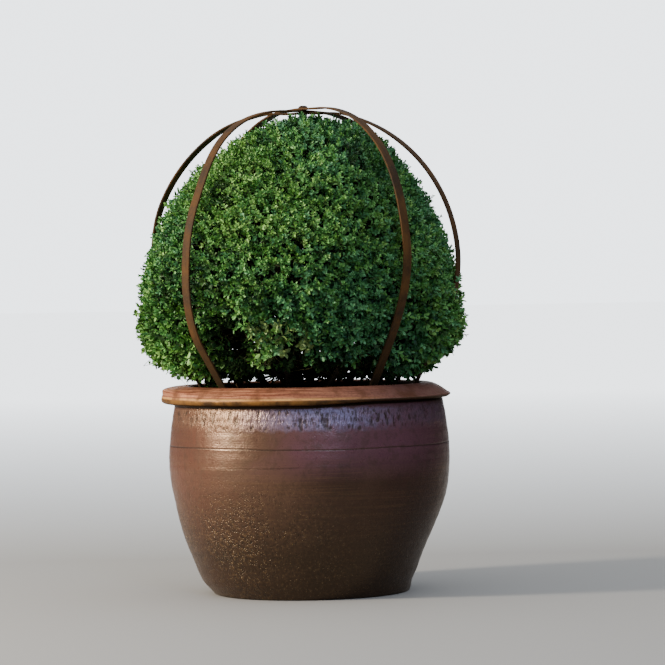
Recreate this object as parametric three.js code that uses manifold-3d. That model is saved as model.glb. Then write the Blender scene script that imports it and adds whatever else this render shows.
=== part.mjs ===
// Box topiary ball in a thrown stoneware pot, clipped to the inside of a cage of three steel hoops.
// Units are millimetres and +Z is up. The origin is the centre of the pot's flat underside.
// The front is -Y, and an azimuth is measured from the front, growing towards +X.

import * as THREE from 'three';
import { mergeVertices } from 'three/addons/utils/BufferGeometryUtils.js';
import Module from 'manifold-3d';

const wasm = await Module();
wasm.setup();

// Gaps between neighbours
const seatGap = 0.3;
const channelGap = 1.2;

// Pot
const potHeight = 540;
const footRadius = 250;
const footEdge = 6;
const bellyRadius = 364;
const bellyHeight = 345;
const neckRadius = 347;
const neckHeight = 490;
const wallThickness = 22;
const floorThickness = 26;
const lipRadius = 375;
const lipRoll = 8.5;
const ridgeRadius = 312;
const mouthRadius = 300;
const mouthEdge = 6;
const potSides = 40;

// Soil
const soilHeight = 500;
const soilEdgeDrop = 14;
const soilFlatRadius = 215;

// Hoops: flat steel strips bent round one ball and pressed together at the hub bolt
const hoopCentre = 850;
const stripWidth = 25;
const stripThickness = 5;
const hubRadius = 391.9;
const hubStep = 5.8;
const hubSpread = THREE.MathUtils.degToRad(11);
const legTurn = THREE.MathUtils.degToRad(118.2);
const bowTurn = THREE.MathUtils.degToRad(85);
const hoopFootHeight = 460;
const hoopFacets = 60;

// The hoops are bent by hand. Each half swells at its shoulder between four angles from the crest,
// bows out or in above its leg, and its foot is pushed along the ground. The near half is the one
// that the degrees name.
const plainHalf = { shoulder: 10, fade: [43, 82], bow: 0, footPush: 0 };
const hoopSizes = [
  {
    name: 'hoop_side', degrees: -102, radius: 401,
    near: { shoulder: 14, fade: [66, 100], bow: 0, footPush: 0 },
    far: { shoulder: 2, fade: [43, 82], bow: -6, footPush: 0 },
  },
  {
    name: 'hoop_front_left', degrees: -48.5, radius: 402,
    near: { shoulder: 21, fade: [38, 66], bow: 14, footPush: -11 },
    far: plainHalf,
  },
  {
    name: 'hoop_front_right', degrees: 38.5, radius: 408,
    near: { shoulder: 20, fade: [43, 82], bow: -17, footPush: -38 },
    far: plainHalf,
  },
];
const shoulderRise = [3, 36];

// Hub bolt
const boltRadius = 6;
const boltHeadRadius = 12;
const boltHeadHeight = 6;
const nutRadius = 12;
const nutHeight = 10;
const boltSides = 16;

// Stems
const stemCount = 7;
const stemFootSpread = 105;
const stemHeadSpread = 205;
const stemHeadHeight = 602;
const stemFootRadius = 13;
const stemHeadRadius = 8;
const stemFlare = 1.7;
const stemFlareHeight = 16;
const firstStemAzimuth = -84;
const stemSides = 8;
const stemRings = 6;

// Crown outline, out to the leaf tips
const crownTop = 1240;
const beltHeight = 720;
const beltRadius = 426;
const leftFullness = 0.035;
const undersideFront = 576;
const undersideSide = 547;
const undersideArch = 26;
const undersideShare = 0.24;
const clipInset = 15;
const frontHalfWidth = THREE.MathUtils.degToRad(48);
const sideHalfWidth = THREE.MathUtils.degToRad(72);

// Core, twigs and leaves
const crownCentre = 850;
const coreInset = 40;
const coreLump = 5;
const coreColumns = 30;
const coreRows = 18;
const sprayCount = 102;
const leavesPerSpray = 3;
const twigRadius = 4.6;
const twigTaper = 0.65;
const twigSunk = 14;
const twigReach = 20;
const leafLength = 76;
const leafWidth = 40;
const leafThickness = 6;
const leafSunk = 3;
const leafStep = 8;
const leafSpread = 1.15;
const endLeafSpread = 0.35;
const shortestLeaf = 0.3;
const outlineSlack = 1;
const stripKeepOff = 7;
const stubSunk = 70;
const goldenAngle = Math.PI * (3 - Math.sqrt(5));

// A tilted axis that no twig happens to follow
const sideAxis = new THREE.Vector3(0.36, 0.48, 0.8);

// Repeatable numbers between 0 and 1
function seededRandom(seed) {
  let state = seed >>> 0;
  return () => {
    state = (state + 0x6d2b79f5) >>> 0;
    let mixed = Math.imul(state ^ (state >>> 15), state | 1);
    mixed ^= mixed + Math.imul(mixed ^ (mixed >>> 7), mixed | 61);
    return ((mixed ^ (mixed >>> 14)) >>> 0) / 4294967296;
  };
}

// Closed solid from a three.js geometry, with shared vertices merged
function solidOf(geometry) {
  const bare = geometry.index ? geometry.toNonIndexed() : geometry.clone();
  bare.deleteAttribute('normal');
  bare.deleteAttribute('uv');
  const merged = mergeVertices(bare, 1e-3);
  const corners = merged.index.array;
  const kept = [];
  for (let i = 0; i < corners.length; i += 3) {
    const [a, b, c] = [corners[i], corners[i + 1], corners[i + 2]];
    if (a !== b && b !== c && c !== a) {
      kept.push(a, b, c);
    }
  }
  return new wasm.Manifold(new wasm.Mesh({
    numProp: 3,
    vertProperties: Float32Array.from(merged.attributes.position.array),
    triVerts: Uint32Array.from(kept),
  }));
}

function geometryOf(solid) {
  const raw = solid.getMesh();
  const geometry = new THREE.BufferGeometry();
  geometry.setAttribute('position', new THREE.BufferAttribute(raw.vertProperties, 3));
  geometry.setIndex(new THREE.BufferAttribute(raw.triVerts, 1));
  geometry.computeVertexNormals();
  return geometry;
}

// Solid turned about the vertical axis from a profile of radius and height
function turned(profile, sides) {
  const geometry = new THREE.LatheGeometry(profile, sides);
  geometry.rotateX(Math.PI / 2);
  return geometry;
}

function point(radius, height) {
  return new THREE.Vector2(radius, height);
}

function polar(radius, azimuth, height) {
  return new THREE.Vector3(radius * Math.sin(azimuth), -radius * Math.cos(azimuth), height);
}

// Outside of the pot's body, from the foot up to the neck
function bodyCurves() {
  const lower = new THREE.CubicBezierCurve(
    point(footRadius + footEdge, footEdge / 2),
    point(footRadius + 62, 123),
    point(bellyRadius, bellyHeight - 110),
    point(bellyRadius, bellyHeight),
  );
  const upper = new THREE.CubicBezierCurve(
    point(bellyRadius, bellyHeight),
    point(bellyRadius, bellyHeight + 55),
    point(neckRadius + 8, neckHeight - 40),
    point(neckRadius, neckHeight),
  );
  return { lower, upper };
}

// Inside of the pot from the floor up to the mouth, moved inward by a gap
function insideProfile(gap) {
  const { lower, upper } = bodyCurves();
  const inset = wallThickness + gap;
  const floor = floorThickness + gap;
  const walls = [...lower.getPoints(6), ...upper.getPoints(3).slice(1)];
  const inner = walls.map((p) => point(p.x - inset, p.y)).filter((p) => p.y > floor + inset);
  const corner = point(inner[0].x - inset / 2, floor);
  return [point(0, floor), corner, ...inner];
}

function potProfile() {
  const { lower, upper } = bodyCurves();
  const roll = new THREE.EllipseCurve(
    lipRadius - lipRoll, neckHeight + lipRoll, lipRoll, lipRoll, -Math.PI / 2, Math.PI / 3,
  );
  const slope = new THREE.QuadraticBezierCurve(
    point(lipRadius - lipRoll / 2, neckHeight + lipRoll * 1.87),
    point(ridgeRadius + 30, potHeight - 14),
    point(ridgeRadius, potHeight),
  );
  const mouth = new THREE.QuadraticBezierCurve(
    point(mouthRadius + mouthEdge, potHeight),
    point(mouthRadius, potHeight),
    point(mouthRadius, potHeight - mouthEdge),
  );
  const inside = insideProfile(0);
  return [
    point(0, 0),
    point(footRadius, 0),
    ...lower.getPoints(9),
    ...upper.getPoints(5).slice(1),
    ...roll.getPoints(4),
    ...slope.getPoints(4).slice(1),
    ...mouth.getPoints(2),
    point(mouthRadius, potHeight - 3 * mouthEdge),
    ...inside.reverse(),
  ];
}

const hoops = hoopSizes.map(({ name, degrees, radius, near, far }, index) => ({
  name,
  radius,
  near,
  far,
  azimuth: THREE.MathUtils.degToRad(degrees),
  hubRadius: hubRadius + index * hubStep,
}));

// Radius of a strip's middle at an angle from its crest, positive on the near half
function stripRadius(hoop, turn) {
  const half = turn > 0 ? hoop.near : hoop.far;
  const degrees = THREE.MathUtils.radToDeg(Math.abs(turn));
  const rise = THREE.MathUtils.smoothstep(degrees, ...shoulderRise);
  const swell = half.shoulder * rise * (1 - THREE.MathUtils.smoothstep(degrees, ...half.fade));
  const bow = half.bow * THREE.MathUtils.smoothstep(Math.abs(turn), bowTurn, legTurn);
  const dip = (hoop.radius - hoop.hubRadius) * Math.exp(-((turn / hubSpread) ** 4));
  return hoop.radius - dip + swell + bow;
}

// How far out a foot stands before it is pushed: its leg runs straight on from the arc
function footReach(legRadius, footDepth) {
  const drop = footDepth + legRadius * Math.cos(legTurn);
  return legRadius * Math.sin(legTurn) + drop / Math.tan(legTurn);
}

// One face of a strip from foot to foot: an arc, with straight legs below it
function stripEdge(hoop, offset, footDepth) {
  const reach = footReach(hoop.radius + offset, footDepth);
  const edge = [point(-reach - hoop.far.footPush, -footDepth)];
  for (let step = 0; step <= hoopFacets; step += 1) {
    const turn = legTurn * (2 * step / hoopFacets - 1);
    const radius = stripRadius(hoop, turn) + offset;
    edge.push(point(radius * Math.sin(turn), radius * Math.cos(turn)));
  }
  edge.push(point(reach + hoop.near.footPush, -footDepth));
  return edge;
}

// One strip, grown on all sides where it clears a way through another solid
function stripSolid(hoop, grow) {
  const half = stripThickness / 2 + grow;
  const footDepth = hoopCentre - hoopFootHeight + grow;
  const outer = stripEdge(hoop, half, footDepth);
  const inner = stripEdge(hoop, -half, footDepth);
  const depth = stripWidth + 2 * grow;
  const outline = new THREE.Shape([...outer, ...inner.reverse()]);
  const geometry = new THREE.ExtrudeGeometry(outline, { depth, steps: 1, bevelEnabled: false });
  geometry.rotateX(Math.PI / 2);
  geometry.translate(0, depth / 2, hoopCentre);
  geometry.rotateZ(hoop.azimuth - Math.PI / 2);
  return solidOf(geometry);
}

function drum(radius, low, high, sides) {
  const geometry = new THREE.CylinderGeometry(radius, radius, high - low, sides);
  geometry.rotateX(Math.PI / 2);
  geometry.translate(0, 0, (low + high) / 2);
  return solidOf(geometry);
}

function hoopSolid(hoop) {
  const crest = hoopCentre + hoop.hubRadius;
  const hole = drum(boltRadius + seatGap, crest - 2 * stripThickness, crest + 2 * stripThickness, boltSides);
  return stripSolid(hoop, 0).subtract(hole);
}

// Domed bolt through all three strips, with a nut beneath
function boltSolid() {
  const top = hoopCentre + hoops[2].hubRadius + stripThickness / 2 + seatGap;
  const bottom = hoopCentre + hoops[0].hubRadius - stripThickness / 2 - seatGap;
  const dome = new THREE.QuadraticBezierCurve(
    point(boltHeadRadius, top + boltHeadHeight / 3),
    point(boltHeadRadius * 0.8, top + boltHeadHeight),
    point(0, top + boltHeadHeight),
  );
  const head = solidOf(turned([point(0, top), point(boltHeadRadius, top), ...dome.getPoints(4)], boltSides));
  const shank = drum(boltRadius, bottom - nutHeight - stripThickness, top + 1, boltSides);
  const stripDrop = nutRadius * Math.tan(legTurn / hoopFacets);
  const nut = drum(nutRadius, bottom - nutHeight, bottom - stripDrop, 6);
  return head.add(shank).add(nut);
}

// Fills the pot up to its edge height there, and rises a little to a flat middle
function soilSolid() {
  const edgeHeight = soilHeight - soilEdgeDrop;
  const inside = insideProfile(seatGap);
  const above = inside.findIndex((p) => p.y > edgeHeight);
  const [below, next] = [inside[above - 1], inside[above]];
  const edge = below.clone().lerp(next, (edgeHeight - below.y) / (next.y - below.y));
  const profile = [...inside.slice(0, above), edge, point(soilFlatRadius, soilHeight), point(0, soilHeight)];
  let soil = solidOf(turned(profile, potSides));
  for (const hoop of hoops) {
    soil = soil.subtract(stripSolid(hoop, seatGap));
  }
  return soil;
}

// Stems stand in a spiral on the soil and lean outward
const stems = Array.from({ length: stemCount }, (_, index) => {
  const share = Math.sqrt((index + 0.5) / stemCount);
  const azimuth = THREE.MathUtils.degToRad(firstStemAzimuth) + index * goldenAngle;
  const size = 1 - 0.05 * index;
  return {
    name: `stem_${index + 1}`,
    foot: polar(stemFootSpread * share, azimuth, soilHeight + seatGap),
    head: polar(stemHeadSpread * share, azimuth + 0.12, stemHeadHeight),
    footRadius: stemFootRadius * size,
    headRadius: stemHeadRadius * size,
  };
});

// Round limb with level ends, bent sideways from its foot to its head
function limbSolid(foot, head, radiusAt, rings, sides) {
  const height = head.z - foot.z;
  const profile = [point(0, 0)];
  for (let ring = 0; ring <= rings; ring += 1) {
    const share = ring / rings;
    profile.push(point(radiusAt(share * height), share * height));
  }
  profile.push(point(0, height));
  const geometry = turned(profile, sides);
  const place = geometry.attributes.position;
  for (let i = 0; i < place.count; i += 1) {
    const share = place.getZ(i) / height;
    const bend = 0.75 * share + 0.25 * share * share;
    place.setXYZ(
      i,
      place.getX(i) + foot.x + (head.x - foot.x) * bend,
      place.getY(i) + foot.y + (head.y - foot.y) * bend,
      place.getZ(i) + foot.z,
    );
  }
  return solidOf(geometry);
}

// Tapering stem with a flared foot, grown where it clears a way through the leaves
function stemSolid(stem, grow) {
  const height = stem.head.z - stem.foot.z;
  const radiusAt = (rise) => {
    const taper = stem.footRadius + (stem.headRadius - stem.footRadius) * rise / height;
    return grow + taper * (1 + (stemFlare - 1) * Math.exp(-rise / stemFlareHeight));
  };
  return limbSolid(stem.foot, stem.head, radiusAt, stemRings, stemSides);
}

// How far an azimuth lies in the side sectors, where the leaves grow out past the hoops: 0 to 1
function sideShare(azimuth) {
  const low = Math.sin(frontHalfWidth);
  const high = Math.sin(sideHalfWidth);
  return THREE.MathUtils.smoothstep(Math.abs(Math.sin(azimuth)), low, high);
}

// Radius inside the cage at a height, which runs straight down the legs below the arc
function cageRadius(height) {
  const { radius } = hoops[0];
  const legStart = hoopCentre + radius * Math.cos(legTurn);
  if (height < legStart) {
    return radius * Math.sin(legTurn) + (legStart - height) / Math.tan(legTurn);
  }
  return Math.sqrt(Math.max(0, radius ** 2 - (height - hoopCentre) ** 2));
}

// Clipped outline: a dome over a belt, tucked in below, flattened behind the front and back legs
function crownRadius(height, azimuth) {
  let share;
  if (height > beltHeight) {
    const rise = Math.min(1, (height - beltHeight) / (crownTop - beltHeight));
    share = (1 - rise ** 1.8) ** 0.55;
  } else {
    const drop = (beltHeight - height) / (beltHeight - undersideSide);
    share = 1 - 0.34 * drop ** 3.2;
  }
  const full = beltRadius * share * (1 - leftFullness * Math.sin(azimuth));
  const clipped = Math.min(full, cageRadius(height) - clipInset);
  return clipped + (full - clipped) * sideShare(azimuth);
}

// Point of the outline at a share of the way from the middle of the underside up to the top
function outlinePoint(share, azimuth) {
  const low = undersideFront + (undersideSide - undersideFront) * sideShare(azimuth);
  if (share < undersideShare) {
    const reach = share / undersideShare;
    return polar(reach * crownRadius(low, azimuth), azimuth, low + undersideArch * (1 - reach ** 2));
  }
  const climb = (share - undersideShare) / (1 - undersideShare);
  const height = low + (crownTop - low) * Math.sin(climb * Math.PI / 2);
  return polar(crownRadius(height, azimuth), azimuth, height);
}

function insetPoint(share, azimuth, inset) {
  const centre = new THREE.Vector3(0, 0, crownCentre);
  const outward = outlinePoint(share, azimuth).sub(centre);
  return centre.addScaledVector(outward, 1 - inset / outward.length());
}

// Lumpy core that the leaves stand out of
function coreSolid() {
  const geometry = new THREE.SphereGeometry(1, coreColumns, coreRows);
  const place = geometry.attributes.position;
  for (let i = 0; i < place.count; i += 1) {
    const column = i % (coreColumns + 1);
    const row = Math.floor(i / (coreColumns + 1));
    const azimuth = (column % coreColumns) / coreColumns * 2 * Math.PI;
    const share = 1 - row / coreRows;
    const ripple = Math.sin(7 * azimuth + 23 * share) * Math.sin(19 * share + 3 * azimuth);
    const atPole = row === 0 || row === coreRows;
    const spot = insetPoint(share, atPole ? 0 : azimuth, coreInset - (atPole ? 0 : coreLump * ripple));
    place.setXYZ(i, spot.x, spot.y, spot.z);
  }
  const solid = solidOf(geometry);
  return solid.volume() < 0 ? solidOf(geometry.scale(1, -1, 1)) : solid;
}

// Leaf of eight faces with its root at a point, pointing along a direction
function leafGeometry(root, direction, face, length) {
  const side = new THREE.Vector3().crossVectors(direction, face).normalize();
  const front = new THREE.Vector3().crossVectors(side, direction).normalize();
  const geometry = new THREE.OctahedronGeometry(1);
  geometry.scale(leafWidth / 2, length / 2, leafThickness / 2);
  geometry.translate(0, length / 2, 0);
  geometry.applyMatrix4(new THREE.Matrix4().makeBasis(side, direction, front).setPosition(root));
  return geometry;
}

function twigGeometry(root, direction, length) {
  const geometry = new THREE.CylinderGeometry(twigRadius * twigTaper, twigRadius, length, 3);
  geometry.translate(0, length / 2, 0);
  const turn = new THREE.Quaternion().setFromUnitVectors(new THREE.Vector3(0, 1, 0), direction);
  geometry.applyQuaternion(turn);
  geometry.translate(root.x, root.y, root.z);
  return geometry;
}

// Reach of a leg's middle at a height, on the line from the arc's end to the foot
function legReach(hoop, half, height) {
  const kneeRadius = hoop.radius + half.bow;
  const kneeReach = kneeRadius * Math.sin(legTurn);
  const kneeHeight = hoopCentre + kneeRadius * Math.cos(legTurn);
  const reach = footReach(hoop.radius, hoopCentre - hoopFootHeight) + half.footPush;
  return THREE.MathUtils.mapLinear(height, hoopFootHeight, kneeHeight, reach, kneeReach);
}

// Whether a point lies on or close to one of the strips
function nearStrip(spot) {
  const fromCentre = spot.clone().setZ(spot.z - hoopCentre);
  const turn = fromCentre.angleTo(new THREE.Vector3(0, 0, 1));
  return hoops.some((hoop) => {
    const across = spot.x * Math.cos(hoop.azimuth) + spot.y * Math.sin(hoop.azimuth);
    const along = spot.x * Math.sin(hoop.azimuth) - spot.y * Math.cos(hoop.azimuth);
    const arcGap = fromCentre.length() - stripRadius(hoop, Math.sign(along) * turn);
    const legGap = Math.abs(along) - legReach(hoop, along > 0 ? hoop.near : hoop.far, spot.z);
    const gap = Math.min(Math.abs(arcGap), Math.abs(legGap));
    return Math.abs(across) < stripWidth / 2 + stripKeepOff && gap < stripThickness / 2 + stripKeepOff;
  });
}

function insideOutline(spot) {
  const azimuth = Math.atan2(spot.x, -spot.y);
  const low = undersideFront + (undersideSide - undersideFront) * sideShare(azimuth);
  if (spot.z > crownTop + outlineSlack || spot.z < low - outlineSlack) {
    return false;
  }
  return Math.hypot(spot.x, spot.y) < crownRadius(spot.z, azimuth) + outlineSlack;
}

// Longest leaf up to a wanted length that stays inside the outline and off the strips, or 0
function roomFor(base, points, wanted) {
  for (let length = wanted; length > wanted * shortestLeaf; length -= wanted / 20) {
    const end = base.clone().addScaledVector(points, length);
    if (insideOutline(end)) {
      const middle = base.clone().addScaledVector(points, length / 2);
      return nearStrip(end) || nearStrip(middle) ? 0 : length;
    }
  }
  return 0;
}

// Sprays stand evenly over the core: a three-sided twig with leaves turned round its end
function sprayParts() {
  const random = seededRandom(41);
  const parts = [];
  for (let spray = 0; spray < sprayCount; spray += 1) {
    const even = (spray + 0.5) / sprayCount;
    const share = Math.acos(1 - 2 * even) / Math.PI;
    const azimuth = spray * goldenAngle;
    const surface = insetPoint(share, azimuth, coreInset);
    const outward = insetPoint(share, azimuth, 0).sub(surface).normalize();
    const lean = new THREE.Vector3(random() - 0.5, random() - 0.5, random() - 0.5);
    const direction = outward.clone().addScaledVector(lean, 0.5).normalize();
    const root = surface.clone().addScaledVector(outward, -twigSunk);
    const tip = root.clone().addScaledVector(direction, twigSunk + twigReach);
    if (nearStrip(tip) || !insideOutline(tip)) {
      continue;
    }
    parts.push(solidOf(twigGeometry(root, direction, twigSunk + twigReach)));
    const first = new THREE.Vector3().crossVectors(direction, sideAxis).normalize();
    const start = random() * Math.PI * 2;
    for (let leaf = 0; leaf < leavesPerSpray; leaf += 1) {
      const turn = start + leaf * 2 * Math.PI / leavesPerSpray + (random() - 0.5) * 0.7;
      const sideways = first.clone().applyAxisAngle(direction, turn);
      const spread = leafSpread * (leaf === 0 ? endLeafSpread : 0.7 + 0.6 * random());
      const points = direction.clone().addScaledVector(sideways, spread).normalize();
      const base = tip.clone().addScaledVector(direction, -leafSunk - leaf * leafStep);
      const length = roomFor(base, points, leafLength * (0.85 + 0.3 * random()));
      if (length > 0) {
        parts.push(solidOf(leafGeometry(base, points, direction, length)));
      }
    }
  }
  return parts;
}

// Stubs that carry the crown down to each stem's head
function stubSolid(stem) {
  const foot = stem.head.clone().setZ(stemHeadHeight + seatGap);
  const lean = stem.head.clone().sub(stem.foot).divideScalar(stem.head.z - stem.foot.z);
  const head = foot.clone().addScaledVector(lean, stubSunk);
  return limbSolid(foot, head, () => stem.headRadius, 2, stemSides);
}

// Largest closed skin of a solid, which leaves out scraps and sealed hollows
function largestPiece(solid) {
  const pieces = solid.decompose();
  return pieces.reduce((best, piece) => (piece.volume() > best.volume() ? piece : best));
}

function crownSolid() {
  let crown = coreSolid();
  for (const part of [...sprayParts(), ...stems.map(stubSolid)]) {
    crown = crown.add(part);
  }
  for (const hoop of hoops) {
    crown = crown.subtract(stripSolid(hoop, channelGap));
  }
  for (const stem of stems) {
    crown = crown.subtract(stemSolid(stem, channelGap));
  }
  return largestPiece(crown);
}

const glaze = new THREE.MeshStandardMaterial({ color: 0x6b4c38, roughness: 0.35, metalness: 0 });
const earth = new THREE.MeshStandardMaterial({ color: 0x2a2019, roughness: 1, metalness: 0 });
const bark = new THREE.MeshStandardMaterial({ color: 0x4a4032, roughness: 0.9, metalness: 0 });
const leaves = new THREE.MeshStandardMaterial({ color: 0x34502a, roughness: 0.5, metalness: 0 });
const rust = new THREE.MeshStandardMaterial({ color: 0x60441e, roughness: 0.8, metalness: 0.5 });

const topiary = new THREE.Group();

function addNode(name, solid, material) {
  const mesh = new THREE.Mesh(geometryOf(solid), material);
  mesh.name = name;
  topiary.add(mesh);
}

addNode('pot', solidOf(turned(potProfile(), potSides)), glaze);
addNode('soil', soilSolid(), earth);
for (const stem of stems) {
  addNode(stem.name, stemSolid(stem, 0), bark);
}
addNode('crown', crownSolid(), leaves);
for (const hoop of hoops) {
  addNode(hoop.name, hoopSolid(hoop), rust);
}
addNode('hub_bolt', boltSolid(), rust);

export default topiary;
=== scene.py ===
# %% [markdown]
# # A clipped box ball in a thrown pot
# The real object is a round shrub of box, clipped to the inside of a cage of three rusty steel
# hoops. It grows on several thin stems out of a heavy stoneware pot, 75 cm wide.
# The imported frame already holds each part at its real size, so every piece below is made in metres
# at its place in the frame. The front, seen by the camera, is -Y, and the pot stands on Z = 0.

import math

import bpy
import numpy as np
from mathutils import Matrix, Quaternion, Vector, kdtree


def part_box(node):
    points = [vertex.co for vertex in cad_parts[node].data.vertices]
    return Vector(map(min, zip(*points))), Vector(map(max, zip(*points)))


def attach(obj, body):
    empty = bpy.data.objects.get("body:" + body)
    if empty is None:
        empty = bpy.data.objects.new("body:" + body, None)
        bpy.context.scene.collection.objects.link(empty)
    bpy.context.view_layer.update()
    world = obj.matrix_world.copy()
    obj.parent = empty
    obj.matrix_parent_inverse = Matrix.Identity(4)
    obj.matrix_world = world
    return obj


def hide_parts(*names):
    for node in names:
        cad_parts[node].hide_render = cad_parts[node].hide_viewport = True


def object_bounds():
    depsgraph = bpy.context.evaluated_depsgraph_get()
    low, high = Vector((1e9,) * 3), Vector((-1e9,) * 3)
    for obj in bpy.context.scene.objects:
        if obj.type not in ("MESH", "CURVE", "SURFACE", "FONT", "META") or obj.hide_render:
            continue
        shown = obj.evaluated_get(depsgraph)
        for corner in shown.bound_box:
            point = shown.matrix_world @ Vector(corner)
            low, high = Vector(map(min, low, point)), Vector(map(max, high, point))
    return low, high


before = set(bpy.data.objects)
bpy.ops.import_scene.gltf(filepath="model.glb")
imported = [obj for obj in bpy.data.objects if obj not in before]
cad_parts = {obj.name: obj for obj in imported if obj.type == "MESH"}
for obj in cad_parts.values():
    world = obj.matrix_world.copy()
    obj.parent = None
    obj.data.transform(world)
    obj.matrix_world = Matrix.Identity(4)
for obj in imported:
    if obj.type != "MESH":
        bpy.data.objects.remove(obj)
frame_box = [list(corner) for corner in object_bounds()]
print("frame nodes:", sorted(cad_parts))

# %% [markdown]
# ## Camera
# The picture was taken from far away with a long lens: the rim looks almost like a straight bar.
# A long lens at 8 m gives the same flat view. The camera stands 0.8 m high, and it is rolled by
# a degree, because the pot in the picture leans by that much to the left.

# %% Camera
CAMERA_DISTANCE = 8.0
CAMERA_HEIGHT = 0.80
CAMERA_TARGET = Vector((0.066, 0.0, 0.6714))
CAMERA_ROLL = math.radians(1.05)
CAMERA_REACH = 100.0
PIXEL_SIZE = 0.0026
FRAME_PIXELS = 665
SENSOR_MM = 36.0

camera_data = bpy.data.cameras.new("camera")
camera_data.sensor_width = SENSOR_MM
camera_data.lens = SENSOR_MM * CAMERA_DISTANCE / (PIXEL_SIZE * FRAME_PIXELS)
camera_data.clip_end = CAMERA_REACH
camera = bpy.data.objects.new("camera", camera_data)
bpy.context.scene.collection.objects.link(camera)
bpy.context.scene.camera = camera
camera.location = (0.0, -CAMERA_DISTANCE, CAMERA_HEIGHT)
gaze = (CAMERA_TARGET - camera.location).to_track_quat("-Z", "Y")
camera.rotation_euler = (gaze @ Quaternion((0, 0, 1), -CAMERA_ROLL)).to_euler()
print("lens", round(camera_data.lens, 1), "mm")

# %% [markdown]
# ## Floor and light
# Low sunlight comes from the left, and the right side of the pot lies in deep shade. One soft lamp
# on the left gives that, with a weak blue one in front. The sky is bright overhead, where it lights
# the leaves but hardly the pot under them, and it is bright behind, which makes a pale backdrop.

# %% Floor and light
FLOOR_SIZE = 400.0
SKY_COLOUR = (0.90, 0.95, 1.0, 1.0)
LAMPS = {
    "low_sun": dict(place=(-5.1, -1.6, 2.3), aim=(0, 0, 0.6), size=(0.8, 1.5), watts=610,
                    colour=(1.0, 0.90, 0.75)),
    "blue_sky_patch": dict(place=(1.6, -6.0, 3.2), aim=(0, 0, 0.5), size=(1.2, 1.2), watts=90,
                           colour=(0.36, 0.56, 1.0)),
}
# Each part of the sky: its direction's axis, where it starts, where it is full, and its strength.
SKY_PARTS = [
    ("Z", -1.0, -0.9, 0.05),
    ("Z", 0.15, 0.90, 1.60),
    ("X", -0.10, -1.0, 0.22),
    ("Y", 0.965, 0.988, 3.20),
]


def deselect_all():
    if bpy.context.object and bpy.context.object.mode != "OBJECT":
        bpy.ops.object.mode_set(mode="OBJECT")
    bpy.ops.object.select_all(action="DESELECT")


def soft_lamp(name, place, aim, size, watts, colour):
    lamp_data = bpy.data.lights.new(name, "AREA")
    lamp_data.shape = "ELLIPSE"
    lamp_data.size, lamp_data.size_y = size
    lamp_data.energy = watts
    lamp_data.color = colour
    lamp = bpy.data.objects.new(name, lamp_data)
    bpy.context.scene.collection.objects.link(lamp)
    lamp.location = place
    lamp.rotation_euler = (Vector(aim) - Vector(place)).to_track_quat("-Z", "Y").to_euler()


def sky_world():
    """A sky that is bright overhead and behind the object, and dim near the ground in front."""
    world = bpy.data.worlds.new("soft_sky")
    world.use_nodes = True
    tree = world.node_tree
    light = tree.nodes["Background"]
    light.inputs["Color"].default_value = SKY_COLOUR
    place = tree.nodes.new("ShaderNodeTexCoord")
    split = tree.nodes.new("ShaderNodeSeparateXYZ")
    tree.links.new(place.outputs["Generated"], split.inputs[0])
    total = None
    for axis, low, high, strength in SKY_PARTS:
        share = tree.nodes.new("ShaderNodeMapRange")
        share.interpolation_type = "SMOOTHSTEP"
        limits = {"From Min": low, "From Max": high, "To Min": 0, "To Max": strength}
        for socket, value in limits.items():
            share.inputs[socket].default_value = value
        tree.links.new(split.outputs[axis], share.inputs["Value"])
        if total is None:
            total = share.outputs["Result"]
            continue
        both = tree.nodes.new("ShaderNodeMath")
        tree.links.new(total, both.inputs[0])
        tree.links.new(share.outputs["Result"], both.inputs[1])
        total = both.outputs[0]
    tree.links.new(total, light.inputs["Strength"])
    return world


deselect_all()
bpy.ops.mesh.primitive_plane_add(size=FLOOR_SIZE)
floor = bpy.context.object
floor.name = "floor"
for name, lamp in LAMPS.items():
    soft_lamp(name, **lamp)
bpy.context.scene.world = sky_world()
print("lamps:", len(LAMPS))

# %% [markdown]
# ## Helpers for finishes
# Every finish starts from one principled shader. Colours are written as they look on a screen,
# from 0 to 255, and turned into the linear values that the shader wants.

# %% Finish helpers
def screen_colour(red, green, blue):
    linear = []
    for value in (red, green, blue):
        share = value / 255
        linear.append(share / 12.92 if share <= 0.04045 else ((share + 0.055) / 1.055) ** 2.4)
    return (*linear, 1.0)


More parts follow.
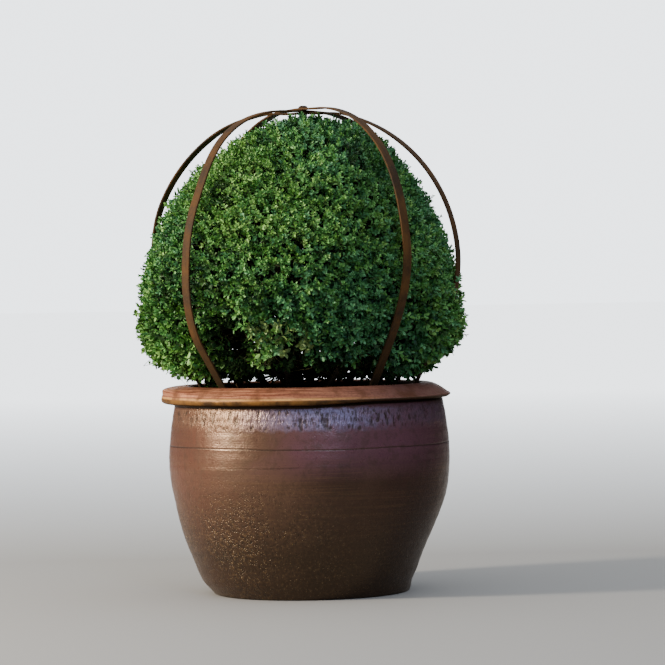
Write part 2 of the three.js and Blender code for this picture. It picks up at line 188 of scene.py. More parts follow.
class Finish:
    """A material with its principled shader, and short calls that add and join nodes."""

    def __init__(self, name, colour, roughness, specular=0.5):
        self.material = bpy.data.materials.new(name)
        self.material.use_nodes = True
        self.tree = self.material.node_tree
        self.shader = self.tree.nodes["Principled BSDF"]
        self.shader.inputs["Base Color"].default_value = screen_colour(*colour)
        self.shader.inputs["Roughness"].default_value = roughness
        self.shader.inputs["Specular IOR Level"].default_value = specular

    def add(self, kind, **values):
        node = self.tree.nodes.new("ShaderNode" + kind)
        for key, value in values.items():
            if hasattr(node, key):
                setattr(node, key, value)
            else:
                node.inputs[key.replace("_", " ")].default_value = value
        return node

    def join(self, source, target):
        self.tree.links.new(source, target)

    def drive(self, source, socket):
        self.join(source, self.shader.inputs[socket])

    def place(self):
        return self.add("TexCoord").outputs["Object"]

    def axes(self, coords):
        """A place as three numbers: to the right, away from the front, and up."""
        split = self.add("SeparateXYZ")
        self.join(coords, split.inputs[0])
        return split.outputs

    def noise(self, coords, scale, detail=3.0, roughness=0.5):
        node = self.add("TexNoise", Scale=scale, Detail=detail, Roughness=roughness)
        self.join(coords, node.inputs["Vector"])
        return node.outputs["Fac"]

    def cells(self, coords, scale):
        """Distance to the nearest cell's middle, and a value that is the same all over a cell."""
        node = self.add("TexVoronoi", Scale=scale)
        self.join(coords, node.inputs["Vector"])
        split = self.add("SeparateColor")
        self.join(node.outputs["Color"], split.inputs[0])
        return node.outputs["Distance"], split.outputs[0]

    def stretch(self, coords, scale):
        node = self.add("Mapping", Scale=scale)
        self.join(coords, node.inputs["Vector"])
        return node.outputs["Vector"]

    def math(self, operation, first, second=0.5):
        node = self.add("Math", operation=operation)
        for socket, value in zip(node.inputs, (first, second)):
            if isinstance(value, (int, float)):
                socket.default_value = value
            else:
                self.join(value, socket)
        return node.outputs[0]

    def times(self, first, *others):
        for other in others:
            first = self.math("MULTIPLY", first, other)
        return first

    def plus(self, first, second):
        return self.math("ADD", first, second)

    def minus(self, first, second):
        return self.math("SUBTRACT", first, second)

    def line(self, value, middle, half_width):
        """One where the value is at the middle, falling to zero at half a width from it."""
        gap = self.math("ABSOLUTE", self.minus(value, middle))
        return self.remap(gap, half_width * 0.3, half_width, 1.0, 0.0)

    def remap(self, value, low, high, to_low=0.0, to_high=1.0):
        node = self.add("MapRange", clamp=True, From_Min=low, From_Max=high,
                        To_Min=to_low, To_Max=to_high)
        self.join(value, node.inputs["Value"])
        return node.outputs["Result"]

    def mix(self, share, first, second):
        node = self.add("Mix", data_type="RGBA")
        self.join(share, node.inputs["Factor"])
        for socket, value in zip((node.inputs[6], node.inputs[7]), (first, second)):
            if isinstance(value, tuple):
                socket.default_value = screen_colour(*value)
            else:
                self.join(value, socket)
        return node.outputs[2]

    def bump(self, height, distance, strength=1.0, under=None):
        node = self.add("Bump", Distance=distance, Strength=strength)
        self.join(height, node.inputs["Height"])
        if under is not None:
            self.join(under, node.inputs["Normal"])
        return node.outputs["Normal"]


# The floor's glow: from where to where it grows, its strength, and how far it spreads aside.
GLOW_ALONG = (1.0, 14.0)
GLOW_STRENGTH = 2.6
GLOW_ASIDE = (0.12, 0.18)


def floor_finish():
    """Pale floor that glows white far behind the object, so that it has no horizon there."""
    f = Finish("pale_floor", (150, 147, 143), 0.9, 0.2)
    across, along, _ = f.axes(f.place())
    far = f.plus(f.math("ABSOLUTE", along), CAMERA_DISTANCE)
    aside = f.math("DIVIDE", f.math("ABSOLUTE", across), far)
    glow = f.times(f.remap(along, *GLOW_ALONG, 0.0, GLOW_STRENGTH),
                   f.remap(aside, *GLOW_ASIDE, 1.0, 0.0))
    f.shader.inputs["Emission Color"].default_value = SKY_COLOUR
    f.drive(glow, "Emission Strength")
    return f


def paint(piece, finish):
    piece.data.materials.clear()
    piece.data.materials.append(finish.material)


def dress(piece, finish, slot, *nodes):
    paint(piece, finish)
    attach(piece, "root")
    if nodes:
        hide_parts(*nodes)


paint(floor, floor_finish())

# %% [markdown]
# ## The pot's form
# A thrown pot is pulled up on a wheel, ring over ring. The mesh is made the same way: one circle is
# extruded up along the profile and scaled at each step. Two curves give the body, from the foot to
# the belly and from the belly to the neck. The heavy lip rolls out and slopes back up to the mouth.

# %% Pot profile
POT_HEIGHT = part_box("pot")[1].z
FOOT_RADIUS = 0.246
BELLY_RADIUS = 0.364
BELLY_HEIGHT = 0.345
NECK_RADIUS = 0.348
NECK_HEIGHT = 0.490
LIP_RADIUS = 0.3745
LIP_LOW = 0.495
LIP_CREASE = 0.512
RIDGE_RADIUS = 0.312
MOUTH_RADIUS = 0.300
WALL = 0.022
FLOOR_THICKNESS = 0.026
FOOT_FULLNESS = 0.004
LOWER_BODY = [
    (0.256, 0.006), (0.312, 0.123), (BELLY_RADIUS, 0.235), (BELLY_RADIUS, BELLY_HEIGHT)]
UPPER_BODY = [
    (BELLY_RADIUS, BELLY_HEIGHT), (BELLY_RADIUS, 0.400), (0.355, 0.455), (NECK_RADIUS, NECK_HEIGHT)]
INSIDE_HEIGHTS = (NECK_HEIGHT, 0.43, 0.35, 0.26, 0.17, 0.09, 0.05)


def curve_points(corners, count):
    """Points of a Bezier curve of any degree, without its first one."""
    degree = len(corners) - 1
    points = []
    for step in range(1, count + 1):
        t = step / count
        weights = [math.comb(degree, k) * t**k * (1 - t) ** (degree - k) for k in range(degree + 1)]
        points.append(tuple(sum(w * c[axis] for w, c in zip(weights, corners)) for axis in (0, 1)))
    return points


BODY_CURVE = [LOWER_BODY[0], *curve_points(LOWER_BODY, 60), *curve_points(UPPER_BODY, 40)]


def bell(value, width):
    return np.exp(-((value / width) ** 2))


def body_radius(height):
    """Outside radius of the pot's body at a height."""
    radii, heights = zip(*BODY_CURVE)
    return float(np.interp(height, heights, radii) + FOOT_FULLNESS * bell(height - 0.045, 0.035))


# %% Heights of the pot's rings
BAND_LOW = 0.438
BAND_HIGH = 0.480
GROOVE_HEIGHT = 0.387
SHORT_GROOVE_HEIGHT = 0.340
COARSE_STEP = 0.0085
FINE_STEP = 0.0035
GROOVE_STEPS = (-0.0045, -0.0028, -0.0013, 0.0, 0.0013, 0.0028, 0.0045)
GROOVE_ROOM = 0.0068


def body_heights():
    """Rings close together in the scratched band and at the grooves, and wider apart elsewhere."""
    grooves = np.array((GROOVE_HEIGHT, SHORT_GROOVE_HEIGHT))
    coarse = np.arange(0.010, BAND_LOW - 0.006, COARSE_STEP)
    fine = np.arange(BAND_LOW - 0.006, NECK_HEIGHT - 0.002, FINE_STEP)
    heights = [height for height in (*coarse, *fine) if min(abs(height - grooves)) > GROOVE_ROOM]
    heights += [groove + step for groove in grooves for step in GROOVE_STEPS]
    return sorted(float(height) for height in heights)


def pot_rings():
    body = [(body_radius(height), height) for height in body_heights()]
    foot = [(FOOT_RADIUS, 0.0), (0.254, 0.002), (0.256, 0.006)]
    under = [(NECK_RADIUS, NECK_HEIGHT), (0.350, LIP_LOW + 0.001), (0.358, LIP_LOW)]
    roll = [under[-1], (LIP_RADIUS, LIP_LOW), (LIP_RADIUS + 0.001, LIP_CREASE - 0.006)]
    crease = [roll[-1], (LIP_RADIUS + 0.0005, LIP_CREASE + 0.001), (0.3695, LIP_CREASE + 0.0015)]
    slope = [crease[-1], (0.352, 0.527), (0.334, POT_HEIGHT), (RIDGE_RADIUS, POT_HEIGHT)]
    mouth = [slope[-1], (MOUTH_RADIUS, POT_HEIGHT), (MOUTH_RADIUS, POT_HEIGHT - 0.010)]
    rim = curve_points(roll, 7) + curve_points(crease, 6) + curve_points(slope, 12)
    rim += curve_points(mouth, 5) + [(MOUTH_RADIUS, POT_HEIGHT - 0.020)]
    inside = [(body_radius(height) - WALL, height) for height in INSIDE_HEIGHTS]
    return foot + body + under + rim + inside + [(inside[-1][0] - 0.012, FLOOR_THICKNESS)]


# %% Pot mesh
POT_SIDES = 640


def turned_shell(name, rings, sides):
    deselect_all()
    radius, height = rings[0]
    bpy.ops.mesh.primitive_circle_add(vertices=sides, radius=radius, location=(0, 0, height))
    shell = bpy.context.object
    shell.name = name
    bpy.ops.object.mode_set(mode="EDIT")
    bpy.ops.mesh.select_all(action="SELECT")
    bpy.ops.mesh.edge_face_add()
    bpy.ops.mesh.duplicate()
    bpy.ops.mesh.delete(type="ONLY_FACE")
    bpy.ops.mesh.select_all(action="DESELECT")
    bpy.ops.mesh.select_non_manifold(extend=False, use_wire=True, use_boundary=False)
    for (radius, height), (next_radius, next_height) in zip(rings, rings[1:]):
        lift = (0, 0, next_height - height)
        bpy.ops.mesh.extrude_edges_move(TRANSFORM_OT_translate={"value": lift})
        grow = next_radius / radius
        bpy.ops.transform.resize(value=(grow, grow, 1), center_override=(0, 0, next_height))
    bpy.ops.mesh.edge_face_add()
    bpy.ops.mesh.select_all(action="SELECT")
    bpy.ops.mesh.remove_doubles(threshold=1e-5)
    bpy.ops.mesh.normals_make_consistent(inside=False)
    bpy.ops.object.mode_set(mode="OBJECT")
    bpy.ops.object.transform_apply(location=True, rotation=True, scale=True)
    return shell


pot = turned_shell("glazed_pot", pot_rings(), POT_SIDES)
print("pot faces:", len(pot.data.polygons))

# %% [markdown]
# ## The thrower's hand
# Nothing thrown by hand is quite round. The body keeps dents and faint rings from the fingers, its
# lower part has slipped a centimetre to the left, and the lip is thicker on that side and wavers.
# A line is cut all round above the belly, a shorter one under it, and a band of short upright
# strokes below the neck. All these are moves of the mesh's own points, so they show from every
# side. How deep each point is cut is also kept as an attribute, and the glaze below reads it.

# %% Hand marks on the pot
STROKE_DEPTH = 0.0016
GROOVE_DEPTH = 0.0008
GROOVE_WIDTH = 0.0016
STROKE_COLUMNS = 430
THIN_LIP = 0.0065
THIN_SIDE = (0.01, 0.17)
LOW_SAG = 0.0095
NECK_SAG = 0.0065
BLUNT_LIP = 0.015
LIP_BULGE = 0.008
LIP_WAVE = 0.0006
GROOVE_TILT = 0.012
# Dents, finger rings and swells of the body, and waves of the grooves, each from large to small.
DENTS = (0.0010, 0.0005)
RINGS = (0.0002, 0.0001)
SWELLS = (0.0010, 0.0007)
WAVES = (0.0016, 0.0010, 0.0008)


def smooth_step(value, low, high):
    """Zero up to low, one from high on, and smooth between them, for numbers and arrays."""
    share = np.clip((value - low) / (high - low), 0, 1)
    return share * share * (3 - 2 * share)


def uneven(rng, columns, rows, turn, share):
    """Random swells from -1 to 1 over a grid that closes round the pot."""
    grid = rng.uniform(-1, 1, (rows + 1, columns))
    column = turn / (2 * np.pi) % 1 * columns
    row = np.clip(share, 0, 1) * rows
    left = np.floor(column).astype(int) % columns
    below = np.minimum(np.floor(row).astype(int), rows - 1)
    aside = smooth_step(column % 1, 0, 1)
    up = smooth_step(row - below, 0, 1)
    right = (left + 1) % columns
    low_edge = grid[below, left] * (1 - aside) + grid[below, right] * aside
    high_edge = grid[below + 1, left] * (1 - aside) + grid[below + 1, right] * aside
    return low_edge * (1 - up) + high_edge * up


def sideways_sag(height):
    """How far the turned body has slipped to the left at this height."""
    low_body = smooth_step(height, 0.0, 0.035) * smooth_step(height, 0.27, 0.12)
    return LOW_SAG * low_body + NECK_SAG * smooth_step(height, NECK_HEIGHT - 0.002, LIP_LOW + 0.004)


def cut_lines(azimuth, height):
    """Depth from 0 to 1 of the long groove and of the short one under it."""
    window = smooth_step(azimuth, -0.66, -0.56) * smooth_step(azimuth, -0.02, -0.12)
    short_groove = 0.5 * window * bell(height - SHORT_GROOVE_HEIGHT, GROOVE_WIDTH)
    return np.maximum(bell(height - GROOVE_HEIGHT, GROOVE_WIDTH), short_groove)


def band_strokes(rng, turn, azimuth, height):
    """Depth from 0 to 1 of the upright strokes, which thin out in places."""
    share = (height - BAND_LOW) / (BAND_HIGH - BAND_LOW)
    strokes = uneven(rng, STROKE_COLUMNS, 2, turn, share)
    strokes = strokes + 0.4 * uneven(rng, STROKE_COLUMNS, 5, turn, share)
    ragged = 0.007 * uneven(rng, 120, 1, turn, share)
    inside = smooth_step(height - ragged, BAND_LOW - 0.002, BAND_LOW + 0.004)
    inside = inside * smooth_step(height + ragged, BAND_HIGH + 0.002, BAND_HIGH - 0.004)
    pressed = 0.55 + 0.45 * np.cos(1.9 * (azimuth + 0.15)) + 0.35 * uneven(rng, 16, 1, turn, share)
    return inside * smooth_step(strokes, 0.15, 0.80) * np.clip(pressed, 0.12, 1)


def hand_marks(shell):
    rng = np.random.default_rng(3)
    flat = np.empty(len(shell.data.vertices) * 3)
    shell.data.vertices.foreach_get("co", flat)
    x, y, z = flat.reshape(-1, 3).T.copy()
    radius = np.maximum(np.hypot(x, y), 1e-6)
    turn, azimuth = np.arctan2(y, x), np.arctan2(x, -y)
    outside = (radius > 0.24) & (z > 0.001)
    shell_radius = np.interp(z, (0, 0.3), (0.235, 0.345))
    body = outside & (z < NECK_HEIGHT + 0.001) & (radius > shell_radius)
    left = smooth_step(-x / radius, 0.55, 1.0)

    share = z / NECK_HEIGHT
    dents = DENTS[0] * uneven(rng, 9, 6, turn, share) + DENTS[1] * uneven(rng, 34, 16, turn, share)
    rings = RINGS[0] * np.sin(z * 233 + np.sin(turn)) + RINGS[1] * np.sin(z * 410)
    strokes, lines = band_strokes(rng, turn, azimuth, z), cut_lines(azimuth, z)
    carved = body * (STROKE_DEPTH * strokes + GROOVE_DEPTH * lines)
    swell = SWELLS[0] * np.sin(2 * turn + 0.7) + SWELLS[1] * np.sin(3 * turn + 2.0)
    blunt = BLUNT_LIP * left * smooth_step(z, LIP_CREASE - 0.002, LIP_CREASE + 0.012)
    blunt = blunt * smooth_step(radius, 0.316, 0.334)
    grow = 1 + outside * (swell + blunt + body * (dents + rings) - carved) / radius

    wavy = WAVES[0] * np.sin(2 * turn + 0.5) + WAVES[1] * np.sin(5 * turn)
    wavy = wavy + WAVES[2] * uneven(rng, 40, 1, turn, z)
    tilt = GROOVE_TILT * np.clip(azimuth + 0.35, -0.4, 0.4)
    lift = wavy * bell(z - GROOVE_HEIGHT, 0.018)
    lift = body * (lift + (wavy + tilt) * bell(z - SHORT_GROOVE_HEIGHT, 0.018))
    full_edge = bell(radius - 0.358, 0.020) * smooth_step(z, LIP_CREASE - 0.004, LIP_CREASE + 0.004)
    ripple = LIP_WAVE * np.sin(3 * turn + 0.4) * (z < POT_HEIGHT - 0.001)
    on_lip = outside & (z > LIP_LOW - 0.001)
    lift = lift + on_lip * (LIP_BULGE * left * full_edge + ripple)
    thin = THIN_LIP * smooth_step(x, *THIN_SIDE) * smooth_step(z, LIP_LOW - 0.012, LIP_LOW - 0.003)
    lift = lift + outside * thin * smooth_step(z, LIP_CREASE, LIP_LOW + 0.003)
    moved = np.stack([x * grow - outside * sideways_sag(z), y * grow, z + lift], axis=1)
    shell.data.vertices.foreach_set("co", moved.ravel())
    cut = shell.data.attributes.new("cut", "FLOAT", "POINT")
    cut.data.foreach_set("value", body * np.maximum(strokes, lines))
    shell.data.update()


hand_marks(pot)
deselect_all()
pot.select_set(True)
bpy.context.view_layer.objects.active = pot
bpy.ops.object.shade_smooth_by_angle(angle=math.radians(50))

# %% [markdown]
# ## The pot's glaze
# The glaze is a dark iron brown that turns bronze where it is thin. Towards the right and low down
# its colour is darkened as painted shade, and higher on the right a plum tone paints a purple sheen.
# The band under the neck is paler, with a painted highlight and a painted blue sheen. The lip is
# drier and more orange, with a painted highlight along its crease and painted shadow under it.
# In the strokes and grooves it gathers nearly black, which the attribute from the last step tells.
# Inside, below the mouth, it is painted nearly black as shade. Low on the body it is pitted, with
# bright specks painted in as glints. Height and place come from the object coordinates, so each
# zone sits at its own height, and noise breaks up every edge.

# %% Glaze tones
GLAZE = dict(
    plain=(96, 70, 55), left=(94, 56, 43), middle=(80, 56, 45), shaded_wine=(46, 24, 24),
    bronze=(108, 78, 50), low=(31, 23, 16), plum_sheen=(104, 66, 78), mottle=(38, 28, 22),
    warm_band_highlight=(138, 102, 78), cool_band_sheen=(130, 122, 156), scratch=(40, 27, 24), cut=(34, 21, 19),
    sand=(112, 88, 56), mud=(18, 14, 9), pit=(18, 14, 10), grain=(190, 160, 112),
    painted_lip_shadow=(20, 12, 9), inside_shade=(22, 17, 13))
LIP = dict(
    red=(118, 64, 46), orange=(192, 130, 96), right=(114, 76, 68), stain=(84, 48, 28),
    speck=(74, 44, 34), dark_edge=(54, 36, 22), olive_edge=(120, 82, 38), under=(16, 10, 6),
    crease_highlight=(206, 158, 90))
SPECULAR_TINT = (1.0, 0.72, 0.48, 1.0)


def body_colour(f, across, height, lines, patches):
    """Reddish on the left, a dark red on the right that is darkened further as painted shade, bronze
    where thin, a painted purple sheen higher on the right, and nearly black low down as painted
    shade.
    """
    side = f.plus(across, f.times(f.minus(patches, 0.5), 0.5))
    tone = f.mix(f.remap(side, -0.36, -0.16), GLAZE["left"], GLAZE["middle"])
    # Towards the right the dark red is darkened further: painted shade.
    tone = f.mix(f.remap(side, -0.06, 0.16), tone, GLAZE["shaded_wine"])
    bronze = f.times(f.remap(lines, 0.48, 0.66), f.remap(patches, 0.40, 0.62), 0.35)
    tone = f.mix(bronze, tone, GLAZE["bronze"])
    # Nearly black low down: painted shade.
    low = f.remap(f.plus(height, f.times(patches, 0.12)), 0.36, 0.16)
    tone = f.mix(f.times(low, 0.80), tone, GLAZE["low"])
    # Plum higher on the right: a painted purple sheen.
    plum_sheen = f.times(f.remap(height, 0.30, 0.38), f.remap(side, -0.16, 0.02))
    return f.mix(f.times(plum_sheen, f.remap(across, 0.34, 0.22, 0.30, 0.80)), tone, GLAZE["plum_sheen"])


def band_colour(f, body, cut, across, height, mottle, fine, scratches):
    """The paler band under the neck, with a warm painted highlight on the left and a blue painted
    sheen in the middle, scratched, and nearly black in its strokes and the grooves.
    """
    wavy = f.plus(height, f.times(f.minus(mottle, 0.5), 0.030))
    band = f.times(f.remap(wavy, BAND_LOW - 0.010, BAND_LOW + 0.014),
                   f.remap(wavy, BAND_HIGH + 0.012, BAND_HIGH + 0.004))
    # The pale band is partly paler glaze and partly painted light: a warm painted highlight on the
    # left and a blue painted sheen in the middle, which fade out towards the right.
    pale = f.mix(f.remap(across, -0.20, -0.04), GLAZE["warm_band_highlight"], GLAZE["cool_band_sheen"])
    share = f.times(band, f.remap(across, 0.24, 0.10, 0.12, 0.80),
                    f.remap(across, -0.34, -0.22, 0.4, 1.0), f.remap(mottle, 0.36, 0.52, 0.5, 1.0))
    body = f.mix(share, body, pale)
    scratched = f.times(band, f.remap(scratches, 0.52, 0.62, 0.0, 0.7))
    body = f.mix(scratched, body, GLAZE["scratch"])
    ragged_cut = f.times(cut, f.remap(fine, 0.25, 0.60, 0.6, 1.5))
    return band, f.mix(f.remap(ragged_cut, 0.05, 0.80, 0.0, 0.75), body, GLAZE["cut"])


def lip_colour(f, place, across, height, under):
    """Dry orange on top, a painted highlight along the crease on the left, and a dark olive edge
    that is black underneath as painted shadow.
    """
    streaks = f.noise(f.stretch(place, (7, 7, 420)), 1.0, 4.0, 0.65)
    stains = f.noise(place, 17.0, 4.0, 0.6)
    specks = f.noise(place, 160.0, 3.0, 0.7)
    left = f.mix(f.remap(streaks, 0.40, 0.60), LIP["red"], LIP["orange"])
    tone = f.mix(f.remap(across, -0.12, 0.24), left, LIP["right"])
    tone = f.mix(f.times(f.remap(stains, 0.50, 0.64), 0.65), tone, LIP["stain"])
    tone = f.mix(f.remap(specks, 0.48, 0.66, 0.0, 0.45), tone, LIP["speck"])
    olive = f.times(f.remap(stains, 0.38, 0.58, 0.10, 1.0), f.remap(across, 0.16, 0.0))
    edge = f.mix(olive, LIP["dark_edge"], LIP["olive_edge"])
    tone = f.mix(f.remap(height, LIP_CREASE - 0.001, LIP_CREASE - 0.004), tone, edge)
    # Painted shadow: the lip's underside is black.
    tone = f.mix(f.remap(under, LIP_LOW + 0.004, LIP_LOW + 0.001), tone, LIP["under"])
    # A pale line along the crease, only on the lit left: a painted highlight.
    crease_highlight = f.times(f.line(height, LIP_CREASE + 0.0005, 0.0034), f.remap(stains, 0.72, 0.42))
    return f.mix(f.times(crease_highlight, f.remap(across, 0.20, -0.05), 0.8), tone, LIP["crease_highlight"])


def inside_dark(f, across, along, height, tone):
    """Below the mouth the inside is painted nearly black, as shade."""
    reach = f.math("SQRT", f.plus(f.times(across, across), f.times(along, along)))
    inner = f.times(f.remap(reach, MOUTH_RADIUS + 0.012, MOUTH_RADIUS + 0.003),
                    f.remap(height, 0.30, 0.35),
                    f.remap(height, POT_HEIGHT - 0.002, POT_HEIGHT - 0.010))
    # The inside below the mouth is painted nearly black: painted shade.
    return f.mix(inner, tone, GLAZE["inside_shade"])


def low_grit(f, place, across, height, patches):
    """Where the low body is gritty, its coarse grain, and its pits and raised grains, whose bright
    colour is a painted glint.
    """
    grit = f.times(f.remap(height, 0.33, 0.17), f.remap(across, 0.12, -0.08, 0.25, 1.0),
                   f.remap(patches, 0.40, 0.52, 0.40, 1.0))
    gravel = f.noise(place, 130.0, 3.0, 0.7)
    pit_gap, pit_chance = f.cells(place, 210.0)
    pits = f.times(f.remap(pit_gap, 0.50, 0.18), f.math("GREATER_THAN", pit_chance, 0.45))
    grain_gap, grain_chance = f.cells(place, 290.0)
    grains = f.times(f.remap(grain_gap, 0.34, 0.14), f.math("GREATER_THAN", grain_chance, 0.78),
                     f.remap(gravel, 0.40, 0.56))
    return grit, gravel, pits, grains


# %% Glaze
def glaze_finish():
    f = Finish("iron_glaze", GLAZE["plain"], 0.35, 0.6)
    f.shader.inputs["Metallic"].default_value = 0.20
    f.shader.inputs["Specular Tint"].default_value = SPECULAR_TINT
    place = f.place()
    across, along, height = f.axes(place)
    cut = f.add("Attribute", attribute_name="cut").outputs["Fac"]
    patches = f.noise(place, 5.0, 4.0, 0.6)
    mottle = f.noise(place, 42.0, 5.0, 0.7)
    fine = f.noise(place, 190.0, 3.0, 0.6)
    lines = f.noise(f.stretch(place, (5, 5, 300)), 1.0, 3.0, 0.6)
    scratches = f.noise(f.stretch(place, (230, 230, 60)), 1.0, 2.0, 0.6)

    body = body_colour(f, across, height, lines, patches)
    body = f.mix(f.times(f.remap(mottle, 0.50, 0.62), 0.35), body, GLAZE["mottle"])
    band, body = band_colour(f, body, cut, across, height, mottle, fine, scratches)
    grit, gravel, pits, grains = low_grit(f, place, across, height, patches)
    body = f.mix(f.times(grit, f.remap(gravel, 0.54, 0.66, 0.0, 0.5)), body, GLAZE["sand"])
    body = f.mix(f.times(grit, f.remap(gravel, 0.48, 0.38, 0.0, 0.7)), body, GLAZE["mud"])
    body = f.mix(f.times(pits, grit, 0.8), body, GLAZE["pit"])
    # Bright grains: painted glints.
    body = f.mix(f.times(grains, grit, 0.9), body, GLAZE["grain"])

    under = f.minus(height, f.remap(across, *THIN_SIDE, 0.0, THIN_LIP))
    # Painted shadow: a black line on the body just under the lip.
    body = f.mix(f.remap(under, NECK_HEIGHT - 0.003, NECK_HEIGHT), body, GLAZE["painted_lip_shadow"])
    lip = f.remap(under, LIP_LOW - 0.003, LIP_LOW + 0.001)
    tone = f.mix(lip, body, lip_colour(f, place, across, height, under))
    f.drive(inside_dark(f, across, along, height, tone), "Base Color")
    f.drive(f.plus(f.remap(mottle, 0.3, 0.7, 0.25, 0.40), f.times(lip, 0.16)), "Roughness")
    shade = f.times(f.remap(under, NECK_HEIGHT - 0.005, NECK_HEIGHT),
                    f.remap(under, LIP_LOW + 0.006, LIP_LOW), 0.5)
    shine = f.minus(f.remap(lip, 0.0, 1.0, 0.78, 0.30), shade)
    # Less shine towards the right: painted shade that dims the reflection on the shaded side.
    shine = f.times(shine, f.remap(across, 0.14, 0.32, 1.0, 0.25))
    f.drive(f.math("MAXIMUM", shine, 0.02), "Specular IOR Level")

    relief = f.bump(lines, 0.0008, 0.28)
    relief = f.bump(f.times(scratches, band), 0.0018, 1.0, relief)
    relief = f.bump(mottle, 0.0016, 0.6, relief)
    relief = f.bump(fine, 0.0008, 0.5, relief)
    f.drive(f.bump(f.times(f.minus(grains, pits), grit), 0.0012, 1.0, relief), "Normal")
    return f


dress(pot, glaze_finish(), "glaze", "pot")

# %% [markdown]
# ## Soil
# Inside the pot the soil lies a hand's breadth under the rim. The frame's own soil has the right
# shape, with pockets for the hoops' feet, so it stays and gets a dark crumbly finish. Loose crumbs
# lie on it: one lumpy crumb is repeated by arrays of places, turns and sizes, as one joined mesh.

# %% Soil finish
def soil_finish():
    f = Finish("moist_soil", (46, 36, 28), 0.95, 0.2)
    place = f.place()
    grains = f.noise(place, 160.0, 6.0, 0.7)
    clods = f.noise(place, 34.0, 4.0, 0.6)
    f.drive(f.mix(f.remap(grains, 0.35, 0.7), (30, 23, 18), (74, 58, 44)), "Base Color")
    f.drive(f.bump(grains, 0.004, 0.9, f.bump(clods, 0.012, 0.8)), "Normal")
    return f


earth = soil_finish()
paint(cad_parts["soil"], earth)

# %% Joined meshes from arrays
def joined_piece(name, vertices, faces, smooth=False):
    """One mesh object from arrays of vertices and of triangles."""
    mesh = bpy.data.meshes.new(name)
    mesh.from_pydata(vertices.tolist(), [], faces.tolist())
    mesh.polygons.foreach_set("use_smooth", np.full(len(mesh.polygons), smooth))
    mesh.update()
    piece = bpy.data.objects.new(name, mesh)
    bpy.context.scene.collection.objects.link(piece)
    return piece


def joined_copies(name, copies, shape_faces, smooth=False):
    """One piece from copies of one shape, given as the corners of each copy."""
    offsets = np.arange(len(copies))[:, None, None] * copies.shape[1]
    faces = (shape_faces[None] + offsets).reshape(-1, 3)
    return joined_piece(name, copies.reshape(-1, 3), faces, smooth)


def unit(vectors):
    return vectors / np.maximum(np.linalg.norm(vectors, axis=-1, keepdims=True), 1e-9)


def random_turns(rng, count):
    """Evenly spread random rotation matrices."""
    w, x, y, z = unit(rng.normal(size=(count, 4))).T
    return np.stack([
        1 - 2 * (y * y + z * z), 2 * (x * y - z * w), 2 * (x * z + y * w),
        2 * (x * y + z * w), 1 - 2 * (x * x + z * z), 2 * (y * z - x * w),
        2 * (x * z - y * w), 2 * (y * z + x * w), 1 - 2 * (x * x + y * y),
    ], axis=1).reshape(-1, 3, 3)


# %% Crumbs on the soil
SOIL_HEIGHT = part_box("soil")[1].z
SOIL_FLAT_RADIUS = 0.215
SOIL_EDGE_RADIUS = 0.318
SOIL_EDGE_DROP = 0.014
CRUMB_COUNT = 2600
CRUMB_SIZE = 0.0045
CRUMB_FLATNESS = np.array([1.0, 0.8, 0.5])
CRUMB_LUMPS = 0.35


def crumb_shape():
    deselect_all()
    bpy.ops.mesh.primitive_ico_sphere_add(subdivisions=1, radius=1.0)
    crumb = bpy.context.object
    corners = np.array([v.co for v in crumb.data.vertices])
    x, y, z = corners[:, :1], corners[:, 1:2], corners[:, 2:]
    corners *= 1 + CRUMB_LUMPS * np.sin(x * 5 + y * 7 + z * 9)
    faces = np.array([list(p.vertices) for p in crumb.data.polygons])
    bpy.data.objects.remove(crumb)
    return corners, faces


def soil_crumbs():
    rng = np.random.default_rng(5)
    radius = SOIL_EDGE_RADIUS * np.sqrt(rng.random(CRUMB_COUNT))
    turn = rng.random(CRUMB_COUNT) * 2 * np.pi
    size = CRUMB_SIZE * rng.lognormal(0, 0.45, CRUMB_COUNT)
    slope = np.clip((radius - SOIL_FLAT_RADIUS) / (SOIL_EDGE_RADIUS - SOIL_FLAT_RADIUS), 0, 1)
    height = SOIL_HEIGHT - SOIL_EDGE_DROP * slope + 0.25 * size
    places = np.stack([radius * np.cos(turn), radius * np.sin(turn), height], axis=1)
    turns = random_turns(rng, CRUMB_COUNT) * size[:, None, None] * CRUMB_FLATNESS
    corners, faces = crumb_shape()
    copies = np.einsum("nij,vj->nvi", turns, corners) + places[:, None, :]
    return joined_copies("soil_crumbs", copies, faces)


dress(soil_crumbs(), earth, "soil")
print("crumbs:", CRUMB_COUNT)

# %% [markdown]
# ## Steel hoops
# Each hoop is one flat strip, bent to a circle and pressed down where the bolt holds all three.
# A narrow grid is laid along that path, given its thickness by Solidify and worn edges by Bevel.
# The path is the frame's own rule: an arc, pulled in at its crest and swollen at its shoulders,
# with straight legs below. Each half of a hoop is bent a little differently, as by hand, and it
# also twists between its bolt and its feet. The near half is the one that the azimuth names.

# %% Hoop paths
HOOP_CENTRE = 0.850
STRIP_WIDTH = 0.025
STRIP_THICKNESS = 0.005
HUB_SPREAD = math.radians(11)
LEG_TURN = math.radians(118.2)
BOW_TURN = math.radians(85)
SHOULDER_RISE = (3, 36)
HOOP_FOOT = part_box("hoop_side")[0].z
LEG_SHARE = 0.18


def bent_half(shoulder, fade, bow=0.0, foot_push=0.0, twist=0.0):
    """How one half of a hoop departs from its circle. It fades between two angles, in degrees."""
    return dict(shoulder=shoulder, fade=fade, bow=bow, foot_push=foot_push,
                twist=math.radians(twist))


